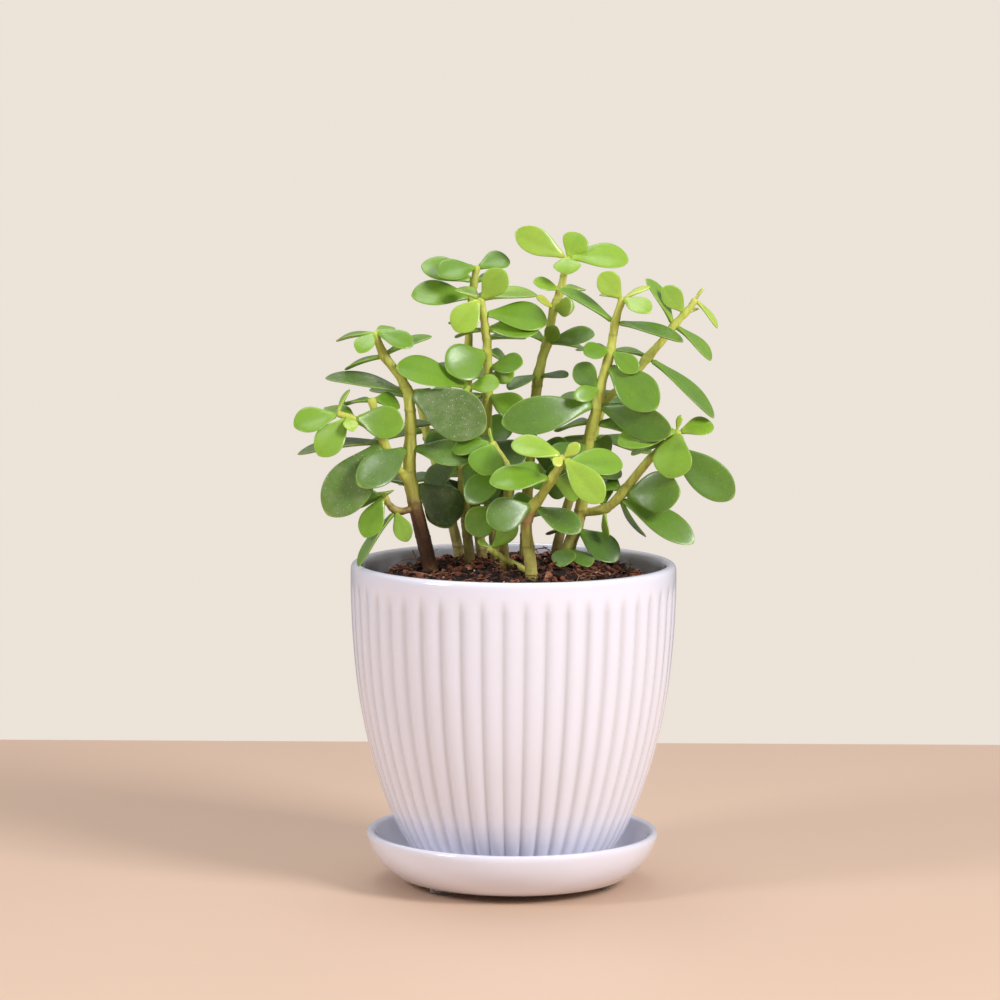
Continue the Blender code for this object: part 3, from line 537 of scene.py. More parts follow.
@dataclass(frozen=True)
class LeafFinish:
    """Fleshy satin leaves: green by age, darkest where the low leaves deep in the crown carry painted shade,
    with a pale rim, a paler back and dust on the old ones.
    """

    effects: dict[str, bpy.types.NodeTree]
    ages: tuple[tuple[float, Colour], ...] = (
        (0.0, srgb(220, 210, 96)), (0.2, srgb(172, 202, 74)), (0.4, srgb(136, 176, 52)),
        (0.6, srgb(108, 152, 38)), (0.8, srgb(78, 118, 30)), (1.0, srgb(48, 80, 22)))
    rim: Colour = srgb(176, 206, 98)
    back: Colour = srgb(134, 164, 72)
    dust: Colour = srgb(128, 144, 96)
    speck: Colour = srgb(226, 230, 214)

    def build(self) -> bpy.types.Material:
        """The leaf skin as a material.

        Returns:
            The material.
        """
        material, wiring, shader = new_material("jade_leaf")
        patches = wiring.group(self.effects["mottle"], Scale=160.0, Contrast=1.5)
        age = wiring.attribute("age")
        shifted = wiring.math("ADD", age, wiring.math("MULTIPLY_ADD", patches, 0.16, -0.08), clamp=True)
        skin = wiring.ramp(shifted, *self.ages)
        under = wiring.attribute("under")
        skin = wiring.mix(wiring.math("MULTIPLY", under, 0.45), skin, self.back)
        vein = wiring.attribute("vein")
        skin = wiring.mix(wiring.math("MULTIPLY", vein, 0.08), skin, self.ages[-1][1])
        bloom = wiring.attribute("dust")
        clouds = wiring.group(self.effects["mottle"], Scale=300.0, Contrast=2.2)
        film = wiring.range(clouds, 0.3, 0.75, 0.25, 0.8)
        skin = wiring.mix(wiring.math("MULTIPLY", bloom, film), skin, self.dust)
        rim = wiring.math("MULTIPLY", wiring.attribute("rim"), 0.5)
        skin = wiring.mix(rim, skin, self.rim)
        specks = wiring.group(self.effects["specks"], Scale=1500.0, Size=0.22, Share=0.16)
        shown = wiring.math("MULTIPLY", specks, wiring.math("MULTIPLY_ADD", bloom, 0.75, 0.05))
        gloss = wiring.range(patches, 0.25, 0.8, 0.26, 0.38)
        wiring.feed_all(shader, {
            "Base Color": wiring.mix(shown, skin, self.speck),
            "Roughness": wiring.math("MULTIPLY_ADD", bloom, 0.2, gloss),
            "Subsurface Weight": 0.12,
            "Subsurface Radius": (0.6, 1.0, 0.25),
            "Subsurface Scale": 0.0012,
            "Coat Weight": 0.25,
            "Coat Roughness": 0.22})
        grain = wiring.add("ShaderNodeTexVoronoi", {"Vector": wiring.place(), "Scale": 2600.0})
        height = wiring.math("MULTIPLY_ADD", grain.outputs["Distance"], 0.35, wiring.noise(420.0, 2.0))
        wiring.emboss(shader, height, 0.22, 0.0002)
        return material


@dataclass(frozen=True)
class StemFinish:
    """Green fleshy stems that turn yellow and then to brown bark with age, ringed by old leaf scars."""

    effects: dict[str, bpy.types.NodeTree]
    ages: tuple[tuple[float, Colour], ...] = (
        (0.0, srgb(190, 202, 88)), (0.3, srgb(194, 194, 88)), (0.55, srgb(178, 166, 90)),
        (0.75, srgb(120, 84, 48)), (1.0, srgb(76, 42, 24)))
    scar: Colour = srgb(98, 74, 38)
    blush: Colour = srgb(188, 128, 100)

    def build(self) -> bpy.types.Material:
        """The stem skin as a material.

        Returns:
            The material.
        """
        material, wiring, shader = new_material("jade_stem")
        patches = wiring.group(self.effects["mottle"], Scale=240.0, Contrast=1.8)
        streaks = wiring.noise(900.0, 3.0, wiring.place((1.0, 1.0, 0.16)))
        worn = wiring.math("MULTIPLY_ADD", patches, 0.3, -0.15)
        age = wiring.math("ADD", wiring.attribute("age"), worn, clamp=True)
        skin = wiring.ramp(age, *self.ages)
        skin = wiring.mix(wiring.range(streaks, 0.5, 0.72, 0.0, 0.35), skin, self.scar)
        skin = wiring.mix(wiring.math("MULTIPLY", wiring.attribute("scar"), 0.7), skin, self.scar)
        skin = wiring.mix(wiring.math("MULTIPLY", wiring.attribute("blush"), 0.7), skin, self.blush)
        wiring.feed(shader.inputs["Base Color"], skin)
        wiring.feed(shader.inputs["Roughness"], wiring.range(streaks, 0.2, 0.8, 0.4, 0.68))
        wiring.emboss(shader, streaks, 0.45, 0.00025)
        return material


@dataclass(frozen=True)
class CoirFinish:
    """Moist potting mix: each chip has its own brown, and crumbs and crevices are darker."""

    effects: dict[str, bpy.types.NodeTree]
    name: str = "potting_mix"
    browns: tuple[tuple[float, Colour], ...] = (
        (0.0, srgb(28, 19, 16)), (0.35, srgb(58, 34, 24)), (0.65, srgb(96, 52, 34)),
        (0.88, srgb(142, 76, 48)), (1.0, srgb(178, 132, 104)))
    roughness: float = 0.9

    def build(self) -> bpy.types.Material:
        """The potting mix as a material.

        Returns:
            The material.
        """
        material, wiring, shader = new_material(self.name)
        crumbs = wiring.group(self.effects["mottle"], Scale=620.0, Contrast=2.4)
        shift = wiring.math("MULTIPLY_ADD", crumbs, 0.5, -0.25)
        tone = wiring.math("ADD", wiring.attribute("brown"), shift, clamp=True)
        skin = wiring.ramp(tone, *self.browns)
        specks = wiring.group(self.effects["specks"], Scale=620.0, Size=0.24, Share=0.05)
        skin = wiring.mix(wiring.math("MULTIPLY", specks, 0.6), skin, self.browns[-1][1])
        wiring.feed(shader.inputs["Base Color"], skin)
        shader.inputs["Roughness"].default_value = self.roughness
        wiring.emboss(shader, crumbs, 0.8, 0.0006)
        return material


# ---------------------------------------------------------------- pot and saucer

@dataclass
class Pot:
    """The ribbed planter: a turned wall with soft narrow grooves pressed into its outer side."""

    ribs: int = 48
    faces_per_rib: int = 14
    groove_depth: float = 0.88
    groove_power: float = 2.3
    floor_start: float = 0.9
    floor_rounding: float = 6.0
    band_bottom: float = 97.5
    band_top: float = 105.5
    foot_bottom: float = 7.0
    foot_top: float = 12.5
    lip: Profile = field(default_factory=lambda: [
        (51.25, 107.0), (51.5, 108.6), (52.3, 109.45), (53.1, 109.6), (54.0, 109.35), (54.7, 108.6),
        (54.95, 107.2), (55.0, 104.5)])
    outside: Profile = field(default_factory=lambda: [
        (55.0, 104.5), (55.0, 101.6), (54.95, 98.0), (54.4, 86.0), (53.2, 72.0), (51.4, 59.5), (49.2, 49.0),
        (46.3, 38.6), (42.8, 28.4), (38.4, 18.4), (34.2, 11.6), (31.2, 8.0)])
    base: Profile = field(default_factory=lambda: [
        (31.2, 8.0), (30.3, 6.9), (29.2, 6.5), (25.0, 6.5), (23.6, 6.9), (22.6, 8.2), (6.6, 8.2), (6.0, 8.8),
        (6.0, 11.2), (6.6, 11.8), (25.5, 11.8)])
    inside: Profile = field(default_factory=lambda: [
        (25.5, 11.8), (29.5, 14.4), (36.0, 25.0), (42.5, 36.6), (47.2, 56.0), (50.2, 82.0), (51.1, 100.0),
        (51.25, 107.0)])

    def outline(self) -> Profile:
        """The whole outline, from the inner lip over the rim, down, under and up the inner side."""
        return (smooth_line(self.lip, 3)[:-1] + smooth_line(self.outside, 6)[:-1]
                + smooth_line(self.base, 2)[:-1] + smooth_line(self.inside, 4))

    def groove_at(self, angle: float, height: float) -> float:
        """How far the surface is pressed in, as a share of the full depth.

        Args:
            angle: the place round the pot, in radians.
            height: the height in millimetres.

        Returns:
            0 on a rib's crown and 1 at the bottom of a groove.
        """
        turns = angle * self.ribs / math.tau
        off = abs(turns - round(turns)) * 2.0
        valley = off ** self.groove_power - self.floor_rounding * max(0.0, off - self.floor_start) ** 2
        band = 1.0 - smooth_step(self.band_bottom, self.band_top, height)
        foot = smooth_step(self.foot_bottom, self.foot_top, height)
        return max(0.0, valley) * band * foot

    def build(self, finish: bpy.types.Material) -> bpy.types.Object:
        """Turn the wall, press the grooves and glaze it.

        Args:
            finish: the glaze.

        Returns:
            The pot.
        """
        pot = turn("ribbed_pot", self.outline(), self.ribs * self.faces_per_rib)
        inner = self.inside
        outer = self.outside + self.lip[3:] + self.base[:2]
        hollow = []
        for vertex in pot.data.vertices:
            radius = math.hypot(vertex.co.x, vertex.co.y) / MM
            height = vertex.co.z / MM
            middle = 0.5 * (radius_at(inner, height) + radius_at(outer, height))
            share = 0.0
            if radius > middle and self.foot_bottom < height < self.band_top:
                share = self.groove_at(math.atan2(vertex.co.y, vertex.co.x), height)
                press = 1.0 - self.groove_depth * share / radius
                vertex.co.x *= press
                vertex.co.y *= press
            hollow.append(share)
        # the groove share, which the glaze turns into painted shade in the grooves
        float_attribute(pot.data, "hollow", hollow)
        shade_round(pot, 60.0)
        return dress(pot, finish, "glaze", "pot")


@dataclass
class Saucer:
    """The glazed dish under the pot and the clear feet it stands on."""

    steps: int = 240
    outline: Profile = field(default_factory=lambda: [
        (0.0, 6.2), (20.0, 6.2), (33.0, 6.25), (37.5, 6.7), (40.9, 8.3), (43.2, 10.8), (44.9, 13.8),
        (46.2, 16.6), (46.9, 17.8), (48.0, 18.3), (49.0, 18.0), (49.4, 17.2), (49.2, 15.6), (48.2, 12.6),
        (46.6, 9.7), (44.4, 7.0), (41.6, 4.6), (38.6, 2.9), (36.0, 2.35), (33.0, 2.3), (16.0, 2.3),
        (0.0, 2.3)])
    bumper_bevel: float = 0.9

    def build_dish(self, finish: bpy.types.Material) -> bpy.types.Object:
        """Turn the dish and glaze it.

        Args:
            finish: the glaze.

        Returns:
            The dish.
        """
        dish = turn("round_saucer", smooth_line(self.outline, 3), self.steps)
        float_attribute(dish.data, "hollow", [0.0] * len(dish.data.vertices))
        shade_round(dish, 60.0)
        return dress(dish, finish, "glaze", "saucer")

    def build_bumpers(self, finish: bpy.types.Material) -> None:
        """Model one domed foot and set a copy at each foot's place.

        Args:
            finish: the clear rubber.
        """
        names = nodes_called("bumper")
        low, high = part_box(names[0])
        radius = (high.x - low.x) / 2
        depth = high.z - low.z
        clear_selection()
        bpy.ops.mesh.primitive_cylinder_add(vertices=40, radius=radius, depth=depth, location=(0, 0, 0))
        master = name_newest("bumper_form")
        bpy.ops.object.mode_set(mode="EDIT")
        bpy.ops.mesh.select_all(action="DESELECT")
        shape = bmesh.from_edit_mesh(master.data)
        for edge in shape.edges:
            edge.select = all(vertex.co.z < 0.0 for vertex in edge.verts)
        bmesh.update_edit_mesh(master.data)
        bpy.ops.mesh.bevel(offset=self.bumper_bevel * MM, segments=4, affect="EDGES")
        bpy.ops.object.mode_set(mode="OBJECT")
        for number, name in enumerate(names, start=1):
            low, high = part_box(name)
            mesh = master.data.copy()
            mesh.transform(Matrix.Translation((low + high) / 2))
            foot = link_mesh(f"clear_foot_{number}", mesh)
            shade_round(foot)
            dress(foot, finish, "clear_rubber", name)
        bpy.data.objects.remove(master, do_unlink=True)


# ---------------------------------------------------------------- soil

@dataclass
class PottingMix:
    """The mounded soil: a lumpy bed, loose chips and fibres of coir, and a few pale grains."""

    edge: float = 50.6
    mound_edge: float = 48.5
    mound_highest: float = 111.5
    mound_missing: float = 103.0
    mound_soften: float = 2.6
    mound_samples: int = 6
    bed_top: float = 104.0
    bed_steps: int = 150
    bed_rings: int = 44
    skirt_bottom: float = 90.0
    lump: float = 0.85
    chips: int = 1150
    fibres: int = 260
    grains: int = 26
    seed: int = 11
    browns: tuple[float, ...] = (0.2, 0.35, 0.45, 0.6, 0.75, 0.9)

    def __post_init__(self) -> None:
        """Read the soil's own surface and the places that stems take."""
        self.rng = random.Random(self.seed)
        self.surface = tree_of_node("soil")
        self.stems = [tree_of_node(name) for name in nodes_called("stem", "cutting")]

    def height(self, x: float, y: float) -> float:
        """The height of the smooth mound at a place, in metres.

        Args:
            x: the place across, in metres.
            y: the place in depth, in metres.

        Returns:
            The height.
        """
        wide = min(1.0, self.mound_edge * MM / max(1e-9, math.hypot(x, y)))
        reach = self.mound_soften * MM
        total = 0.0
        for sample in range(self.mound_samples):
            angle = math.tau * sample / self.mound_samples
            start = Vector((x * wide + reach * math.cos(angle), y * wide + reach * math.sin(angle), 0.2))
            hit = self.surface.ray_cast(start, Vector((0, 0, -1)))[0]
            total += hit.z if hit else self.mound_missing * MM
        return min(total / self.mound_samples, self.mound_highest * MM)

    def clear_of_stems(self, point: Vector, distance: float) -> bool:
        """Whether no stem is nearer than the distance."""
        return all(tree.find_nearest(point)[3] > distance for tree in self.stems)

    def build_bed(self, finish: bpy.types.Material) -> bpy.types.Object:
        """Turn a flat bed and raise it into lumps.

        Args:
            finish: the potting mix.

        Returns:
            The bed.
        """
        outline = [(0.0, self.skirt_bottom), (self.edge, self.skirt_bottom)]
        outline += [(self.edge * (1.0 - ring / self.bed_rings), self.bed_top)
                    for ring in range(self.bed_rings)]
        bed = turn("potting_mix_bed", outline + [(0.0, self.bed_top)], self.bed_steps)
        surface_start = 0.5 * (self.skirt_bottom + self.bed_top) * MM
        brown = []
        for vertex in bed.data.vertices:
            place = vertex.co
            if place.z > surface_start:
                lumps = noise.fractal(place / (4.2 * MM), 1.0, 2.0, 3)
                dip = 0.6 * MM * (lumps - 0.5)
                vertex.co.z = self.height(place.x, place.y) + self.lump * MM * lumps + dip - 1.0 * MM
            brown.append(0.12 + 0.2 * noise.noise(place / (2.6 * MM)))
        float_attribute(bed.data, "brown", brown)
        shade_round(bed, 75.0)
        return dress(bed, finish, "soil", "soil")

    def spot(self, limit: float, margin: float) -> Vector | None:
        """A place on the mound that is clear of the stems, or None if the draw misses.

        Args:
            limit: how far out it may be, in millimetres.
            margin: how far from a stem, in metres.

        Returns:
            The place, or None.
        """
        radius = limit * MM * math.sqrt(self.rng.random())
        angle = self.rng.uniform(0.0, math.tau)
        x, y = radius * math.cos(angle), radius * math.sin(angle)
        point = Vector((x, y, self.height(x, y)))
        return point if self.clear_of_stems(point, margin) else None

    def scatter(self, name: str, masters: list[bpy.types.Mesh], count: int, sizes: tuple[float, float],
                browns: tuple[float, ...], finish: bpy.types.Material) -> bpy.types.Object:
        """Lay copies of the masters over the mound.

        Args:
            name: the joined piece's name.
            masters: meshes about one unit long that lie along X.
            count: how many copies.
            sizes: the shortest and longest copy, in millimetres.
            browns: the tones that copies draw from.
            finish: the material.

        Returns:
            The joined piece.
        """
        shape = bmesh.new()
        tone_layer = shape.verts.layers.float.new("brown")
        made = 0
        while made < count:
            size = sizes[0] + (sizes[1] - sizes[0]) * self.rng.random() ** 2.2
            point = self.spot(self.edge - 0.55 * size - 0.4, 0.5 * size * MM)
            if point is None:
                continue
            made += 1
            heading = self.rng.uniform(0.0, math.tau)
            tilt = self.rng.gauss(0.0, 0.32)
            roll = self.rng.gauss(0.0, 0.5)
            turned = (Matrix.Rotation(heading, 4, "Z") @ Matrix.Rotation(tilt, 4, "Y")
                      @ Matrix.Rotation(roll, 4, "X"))
            lift = self.rng.uniform(-0.1, 0.22) * size * MM
            place = Matrix.Translation(point + Vector((0, 0, lift))) @ turned @ Matrix.Scale(size * MM, 4)
            before = len(shape.verts)
            shape.from_mesh(self.rng.choice(masters))
            shape.verts.ensure_lookup_table()
            fresh = shape.verts[before:]
            bmesh.ops.transform(shape, matrix=place, verts=fresh)
            tone = self.rng.choice(browns) + self.rng.uniform(-0.06, 0.06)
            for vertex in fresh:
                vertex[tone_layer] = tone
        mesh = bpy.data.meshes.new(name)
        shape.to_mesh(mesh)
        shape.free()
        piece = link_mesh(name, mesh)
        shade_round(piece, 35.0)
        return dress(piece, finish, "soil")

    def chip_masters(self) -> list[bpy.types.Mesh]:
        """Several small angular chips, broken from one rough ball.

        Returns:
            The chips' meshes.
        """
        masters = []
        for number in range(6):
            clear_selection()
            bpy.ops.mesh.primitive_ico_sphere_add(subdivisions=1, radius=0.5, location=(0, 0, 0))
            chip = name_newest(f"chip_{number}")
            bpy.ops.object.mode_set(mode="EDIT")
            bpy.ops.mesh.select_all(action="SELECT")
            bpy.ops.transform.resize(value=(1.0, self.rng.uniform(0.4, 0.8), self.rng.uniform(0.25, 0.5)))
            bpy.ops.object.mode_set(mode="OBJECT")
            for vertex in chip.data.vertices:
                vertex.co *= self.rng.uniform(0.72, 1.15)
            masters.append(chip.data)
            bpy.data.objects.remove(chip, do_unlink=True)
        return masters

    def fibre_masters(self) -> list[bpy.types.Mesh]:
        """Several thin, curled and tapering fibres.

        Returns:
            The fibres' meshes.
        """
        lengths = 7
        masters = []
        for number in range(5):
            clear_selection()
            bpy.ops.mesh.primitive_cone_add(vertices=4, radius1=0.016, radius2=0.006, depth=1.0,
                                            end_fill_type="TRIFAN", location=(0, 0, 0),
                                            rotation=(0.0, math.pi / 2, 0.0))
            fibre = name_newest(f"fibre_{number}")
            settle(fibre)
            bpy.ops.object.mode_set(mode="EDIT")
            for cut in range(1, lengths):
                bpy.ops.mesh.select_all(action="SELECT")
                bpy.ops.mesh.bisect(plane_co=(cut / lengths - 0.5, 0, 0), plane_no=(1, 0, 0))
            bpy.ops.object.mode_set(mode="OBJECT")
            bow = self.rng.uniform(0.05, 0.22)
            wave = self.rng.uniform(0.0, 0.07)
            for vertex in fibre.data.vertices:
                along = vertex.co.x
                vertex.co.y += bow * (1.0 - 4 * along * along) + wave * math.sin(9.0 * along + number)
                vertex.co.z += 0.5 * bow * (1.0 - 4 * along * along) - 0.3 * bow
            masters.append(fibre.data)
            bpy.data.objects.remove(fibre, do_unlink=True)
        return masters

    def build(self, finish: bpy.types.Material, pale: bpy.types.Material) -> None:
        """Lay the bed and strew it.

        Args:
            finish: the potting mix.
            pale: the pale grains' material.
        """
        self.build_bed(finish)
        chips = self.chip_masters()
        self.scatter("coir_chips", chips, self.chips, (1.1, 5.6), self.browns, finish)
        self.scatter("coir_fibres", self.fibre_masters(), self.fibres, (4.0, 15.0), (0.75, 0.9, 1.0), finish)
        self.scatter("pale_grains", chips, self.grains, (0.7, 1.9), (1.0,), pale)


# ---------------------------------------------------------------- leaves

class Age(Enum):
    """How old a leaf is, as its place on the leaf finish's scale of greens; the darkest place also paints
    shade on the low leaves deep in the crown.
    """

    NEW = 0.36
    YOUNG = 0.48
    GROWN = 0.62
    OLD = 0.78
    OLDEST = 0.92


USUAL_AGE = (Age.GROWN, 0.1)

# the groups of leaves by age and by how dusty they are, where the darkest age also paints shade on the low
# groups deep in the crown; the others are of the usual age
LEAF_AGES: dict[tuple[Age, float], tuple[str, ...]] = {
    (Age.NEW, 0.0): ("back_tip", "branch_tip", "front_tip", "middle_tip", "right_tip"),
    (Age.YOUNG, 0.0): ("back_2", "front_2", "low_right_tip", "middle_4"),
    (Age.YOUNG, 0.05): ("branch_2", "left_outer_tip", "short_tip"),
    (Age.GROWN, 0.05): ("low_middle", "middle_2"),
    (Age.GROWN, 0.15): ("left_low", "low_right_3", "middle_3"),
    (Age.OLD, 0.1): ("rear_left", "rear_right"),
    (Age.OLD, 0.15): ("middle_back_3",),
    (Age.OLD, 0.2): ("back_4", "right_4", "right_low"),
    (Age.OLD, 0.25): ("right_5",),
    (Age.OLD, 0.3): ("front_3",),
    (Age.OLD, 0.35): ("short_2",),
    (Age.OLD, 0.45): ("left_4",),
    (Age.OLD, 0.75): ("left_outer_3",),
    (Age.OLD, 0.8): ("left_3",),
    # painted shade: these low groups deep in the crown are darkened as the oldest leaves, as well as being
    # old
    (Age.OLDEST, 0.2): ("middle_back_4",),
    (Age.OLDEST, 0.3): ("middle_5",),
    (Age.OLDEST, 0.4): ("left_5",),
}

# how a faceted leaf of the construction is shaped, which tells its blade from its collar
ARCH = 0.05
INNER_RING = 0.63
INNER_FULLNESS = 1.02
RING_WIDTHS = (0.67, 0.745)
RING_DEPTHS = (0.83, 0.95)
RING_LIFTS = (0.13, 0.19)


def age_of(name: str) -> tuple[Age, float]:
    """The age and dustiness of a group of leaves."""
    group = name.removeprefix("leaves_")
    return next((years for years, groups in LEAF_AGES.items() if group in groups), USUAL_AGE)


def between(value: float, limits: tuple[float, float]) -> bool:
    """Whether a value lies between two limits."""
    return limits[0] < value < limits[1]


@dataclass(frozen=True)
class Blade:
    """Where one leaf lies: its root, its tip, the way its upper side faces and its width."""

    root: Vector
    tip: Vector
    normal: Vector
    width: float


@dataclass(frozen=True)
class RingShape:
    """One ring of four points round a faceted leaf."""

    middle: Vector
    normal: Vector
    half_width: float
    half_depth: float
    lift: float


def read_ring(points: list[Vector]) -> RingShape:
    """Read a ring: its farthest pair are the leaf's edges, and the other two its upper and lower side.

    Args:
        points: the ring's four points.

    Returns:
        The ring's middle, upper side, size and lift.
    """
    pairs = [(i, j) for i in range(4) for j in range(i + 1, 4)]
    left, right = max(pairs, key=lambda pair: (points[pair[0]] - points[pair[1]]).length)
    top, bottom = [i for i in range(4) if i not in (left, right)]
    middle = (points[top] + points[bottom]) / 2
    raised = (points[left] + points[right]) / 2 - middle
    across = points[top] - points[bottom]
    normal = across.normalized() if across.dot(raised) > 0 else -across.normalized()
    half = (points[left] - points[right]).length / 2
    return RingShape(middle, normal, half, across.length / 2, raised.length / max(half, 1e-9))


def next_ring(ring: list[bmesh.types.BMVert], seen: set[bmesh.types.BMVert]) -> list[bmesh.types.BMVert]:
    """The vertices one edge further from the tip.

    Args:
        ring: the vertices to go on from.
        seen: those already passed; the new ones are added.

    Returns:
        The new vertices.
    """
    found = []
    for vertex in ring:
        for edge in vertex.link_edges:
            other = edge.other_vert(vertex)
            if other not in seen:
                seen.add(other)
                found.append(other)
    return found


def find_blades(name: str) -> list[Blade]:
    """Find the leaves in a construction node by their tips.

    Args:
        name: the node of leaves.

    Returns:
        One blade for each leaf, from the lowest tip to the highest.
    """
    shape = bmesh.new()
    shape.from_mesh(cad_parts[name].data)
    bmesh.ops.remove_doubles(shape, verts=shape.verts, dist=WELD)
    blades = []
    for vertex in shape.verts:
        if len(vertex.link_edges) != 4:
            continue
        seen = {vertex}
        first = next_ring([vertex], seen)
        second = next_ring(first, seen)
        if len(second) != 4:
            continue
        outer = read_ring([item.co for item in first])
        inner = read_ring([item.co for item in second])
        widths = outer.half_width / inner.half_width
        depths = outer.half_depth / max(inner.half_depth, 1e-9)
        if not (between(widths, RING_WIDTHS) and between(depths, RING_DEPTHS)
                and between(inner.lift, RING_LIFTS)):
            continue
        rise = ARCH * 4 * INNER_RING * (1 - INNER_RING)
        run = (vertex.co - inner.middle) / (1 - INNER_RING)
        for _ in range(4):
            run = (vertex.co - inner.middle + inner.normal * rise * run.length) / (1 - INNER_RING)
        width = 2 * inner.half_width / INNER_FULLNESS
        blades.append(Blade(vertex.co - run, vertex.co.copy(), inner.normal.copy(), width))
    shape.free()
    return sorted(blades, key=lambda blade: (round(blade.tip.z, 6), blade.tip.x))


@dataclass
class Leaves:
    """Every leaf of the plant: one fleshy leaf is modelled, and each leaf is a fitted copy of it."""

    around: int = 20
    rings: int = 24
    widest: float = 0.63
    root_breadth: float = 0.2
    breadth: float = 0.985
    point_start: float = 2.1
    point_fullness: float = 0.62
    crowding: float = 1.55
    cup: float = 0.16
    groove: float = 0.14
    groove_width: float = 0.17
    vein_width: float = 0.09
    rim_width: float = 0.34
    seed: int = 5

    def __post_init__(self) -> None:
        """Seed the small differences between leaves."""
        self.rng = random.Random(self.seed)

    def breadth_at(self, along: float) -> float:
        """The half width at a place along the leaf, as a share of half the leaf's width.

        Args:
            along: the place, 0 at the root and 1 at the tip.

        Returns:
            The share.
        """
        if along < self.widest:
            rise = math.sin(0.5 * math.pi * along / self.widest) ** 1.6
            return self.root_breadth + (self.breadth - self.root_breadth) * rise
        past = (along - self.widest) / (1.0 - self.widest)
        return self.breadth * max(0.0, 1.0 - past ** self.point_start) ** self.point_fullness

    def depth_at(self, along: float, width: float) -> float:
        """Half the leaf's thickness in its middle, in metres.

        Args:
            along: the place, 0 at the root and 1 at the tip.
            width: the leaf's width, in metres.

        Returns:
            Half the thickness.
        """
        full = (0.52 * MM + 0.036 * width) * (1.0 - 0.35 * along)
        end = max(0.0, (along - 0.8) / 0.2)
        return full * math.sqrt(max(0.0, 1.0 - end ** 2.4))

    def make_master(self) -> bpy.types.Mesh:
        """Model the leaf that all others copy: a ball drawn out, its poles at the root and the tip.

        Its X is the place across, from -1 to 1, its Y the place along, and its Z the side.

        Returns:
            The leaf's mesh.
        """
        clear_selection()
        bpy.ops.mesh.primitive_uv_sphere_add(segments=self.around, ring_count=self.rings, radius=1.0,
                                             location=(0, 0, 0), rotation=(-math.pi / 2, 0.0, 0.0))
        master = name_newest("leaf_form")
        settle(master)
        for vertex in master.data.vertices:
            polar = math.acos(max(-1.0, min(1.0, -vertex.co.y))) / math.pi
            along = 1.0 - (1.0 - polar) ** self.crowding
            spread = math.hypot(vertex.co.x, vertex.co.z)
            pole = spread < 1e-5
            vertex.co = (0.0, along, 0.0) if pole else (vertex.co.x / spread, along, vertex.co.z / spread)
        mesh = master.data
        bpy.data.objects.remove(master, do_unlink=True)
        return mesh

    def fit(self, master: bpy.types.Mesh, blade: Blade, age: float, dust: float) -> bpy.types.Object:
        """A copy of the master laid where a blade lies.

        Args:
            master: the leaf that is copied.
            blade: the place.
            age: the leaf's age, 0 to 1.
            dust: how dusty it is, 0 to 1.

        Returns:
            The leaf as an object.
        """
        mesh = master.copy()
        run = blade.tip - blade.root
        length = run.length
        side = run.cross(blade.normal).normalized()
        normal = side.cross(run).normalized()
        width = blade.width
        seed = Vector((self.rng.uniform(0, 90), self.rng.uniform(0, 90), 0.0))
        twist = self.rng.gauss(0.0, 0.05)
        ripple = self.rng.uniform(0.02, 0.06)
        hook = self.rng.uniform(-0.02, 0.035)
        values: dict[str, list[float]] = {key: [] for key in ("age", "dust", "under", "rim", "vein")}
        for vertex in mesh.vertices:
            x, along, z = vertex.co
            half = 0.5 * width * self.breadth_at(along)
            depth = self.depth_at(along, width)
            wobble = 1.0 + 0.035 * noise.noise(seed + Vector((2.2 * along, 1.5 * math.copysign(1, x), 0)))
            across = half * x * wobble
            body = depth * z * (1.0 - 0.12 * abs(x) ** 2)
            hollow = self.groove * depth * math.exp(-(x / self.groove_width) ** 2)
            hollow *= smooth_step(0.05, 0.3, along) * (1.0 - smooth_step(0.75, 1.0, along))
            lift = self.cup * half * x * x - (hollow if z > 0 else 0.35 * hollow)
            lift += ripple * half * math.sin(4.2 * along + 2.0 * x + seed.x) * x * x
            lift += hook * length * along ** 3
            rise = ARCH * length * 4 * along * (1 - along) + lift + body
            turned = twist * along
            offset = (side * (across * math.cos(turned) - rise * math.sin(turned) * 0.2)
                      + normal * (rise + across * math.sin(turned)))
            vertex.co = blade.root + run * along + offset
            tip_share = smooth_step(0.965, 1.0, along)
            edge = smooth_step(1.0 - self.rim_width * MM / max(half, 0.6 * MM), 1.0, abs(x))
            values["rim"].append(max(edge, tip_share) * smooth_step(0.12, 0.35, along))
            values["under"].append(1.0 if z < -0.05 else 0.0)
            vein = math.exp(-(x / self.vein_width) ** 2) * smooth_step(0.02, 0.2, along)
            values["vein"].append(vein if z > 0 else 0.0)
            paler_root = 0.16 * (1.0 - smooth_step(0.02, 0.3, along))
            values["age"].append(max(0.0, age - paler_root - 0.1 * tip_share))
            values["dust"].append(dust)
        finish_mesh(mesh, values)
        return link_mesh("leaf", mesh)

    def build(self, finish: bpy.types.Material) -> list[Blade]:
        """Grow every group of leaves and say where they all are.

        Args:
            finish: the leaf skin.

        Returns:
            Every leaf's blade.
        """
        master = self.make_master()
        every: list[Blade] = []
        for name in nodes_called("leaves"):
            blades = find_blades(name)
            every += blades
            age, dust = age_of(name)
            leaves = []
            for blade in blades:
                small = 1.0 - smooth_step(3.5 * MM, 9.0 * MM, blade.width)
                years = age.value * (1.0 - 0.62 * small) + self.rng.gauss(0.0, 0.045)
                grime = max(0.0, dust + self.rng.gauss(0.0, 0.08)) * (1.0 - small)
                leaves.append(self.fit(master, blade, min(1.0, max(0.02, years)), min(1.0, grime)))
            if not leaves:
                log.warning("%s: no leaf found", name)
                continue
            piece = join_all(name.replace("leaves", "foliage"), leaves)
            log.info("%s: %d leaves", name, len(blades))
            dress(piece, finish, "leaf", name)
        return every


# ---------------------------------------------------------------- stems

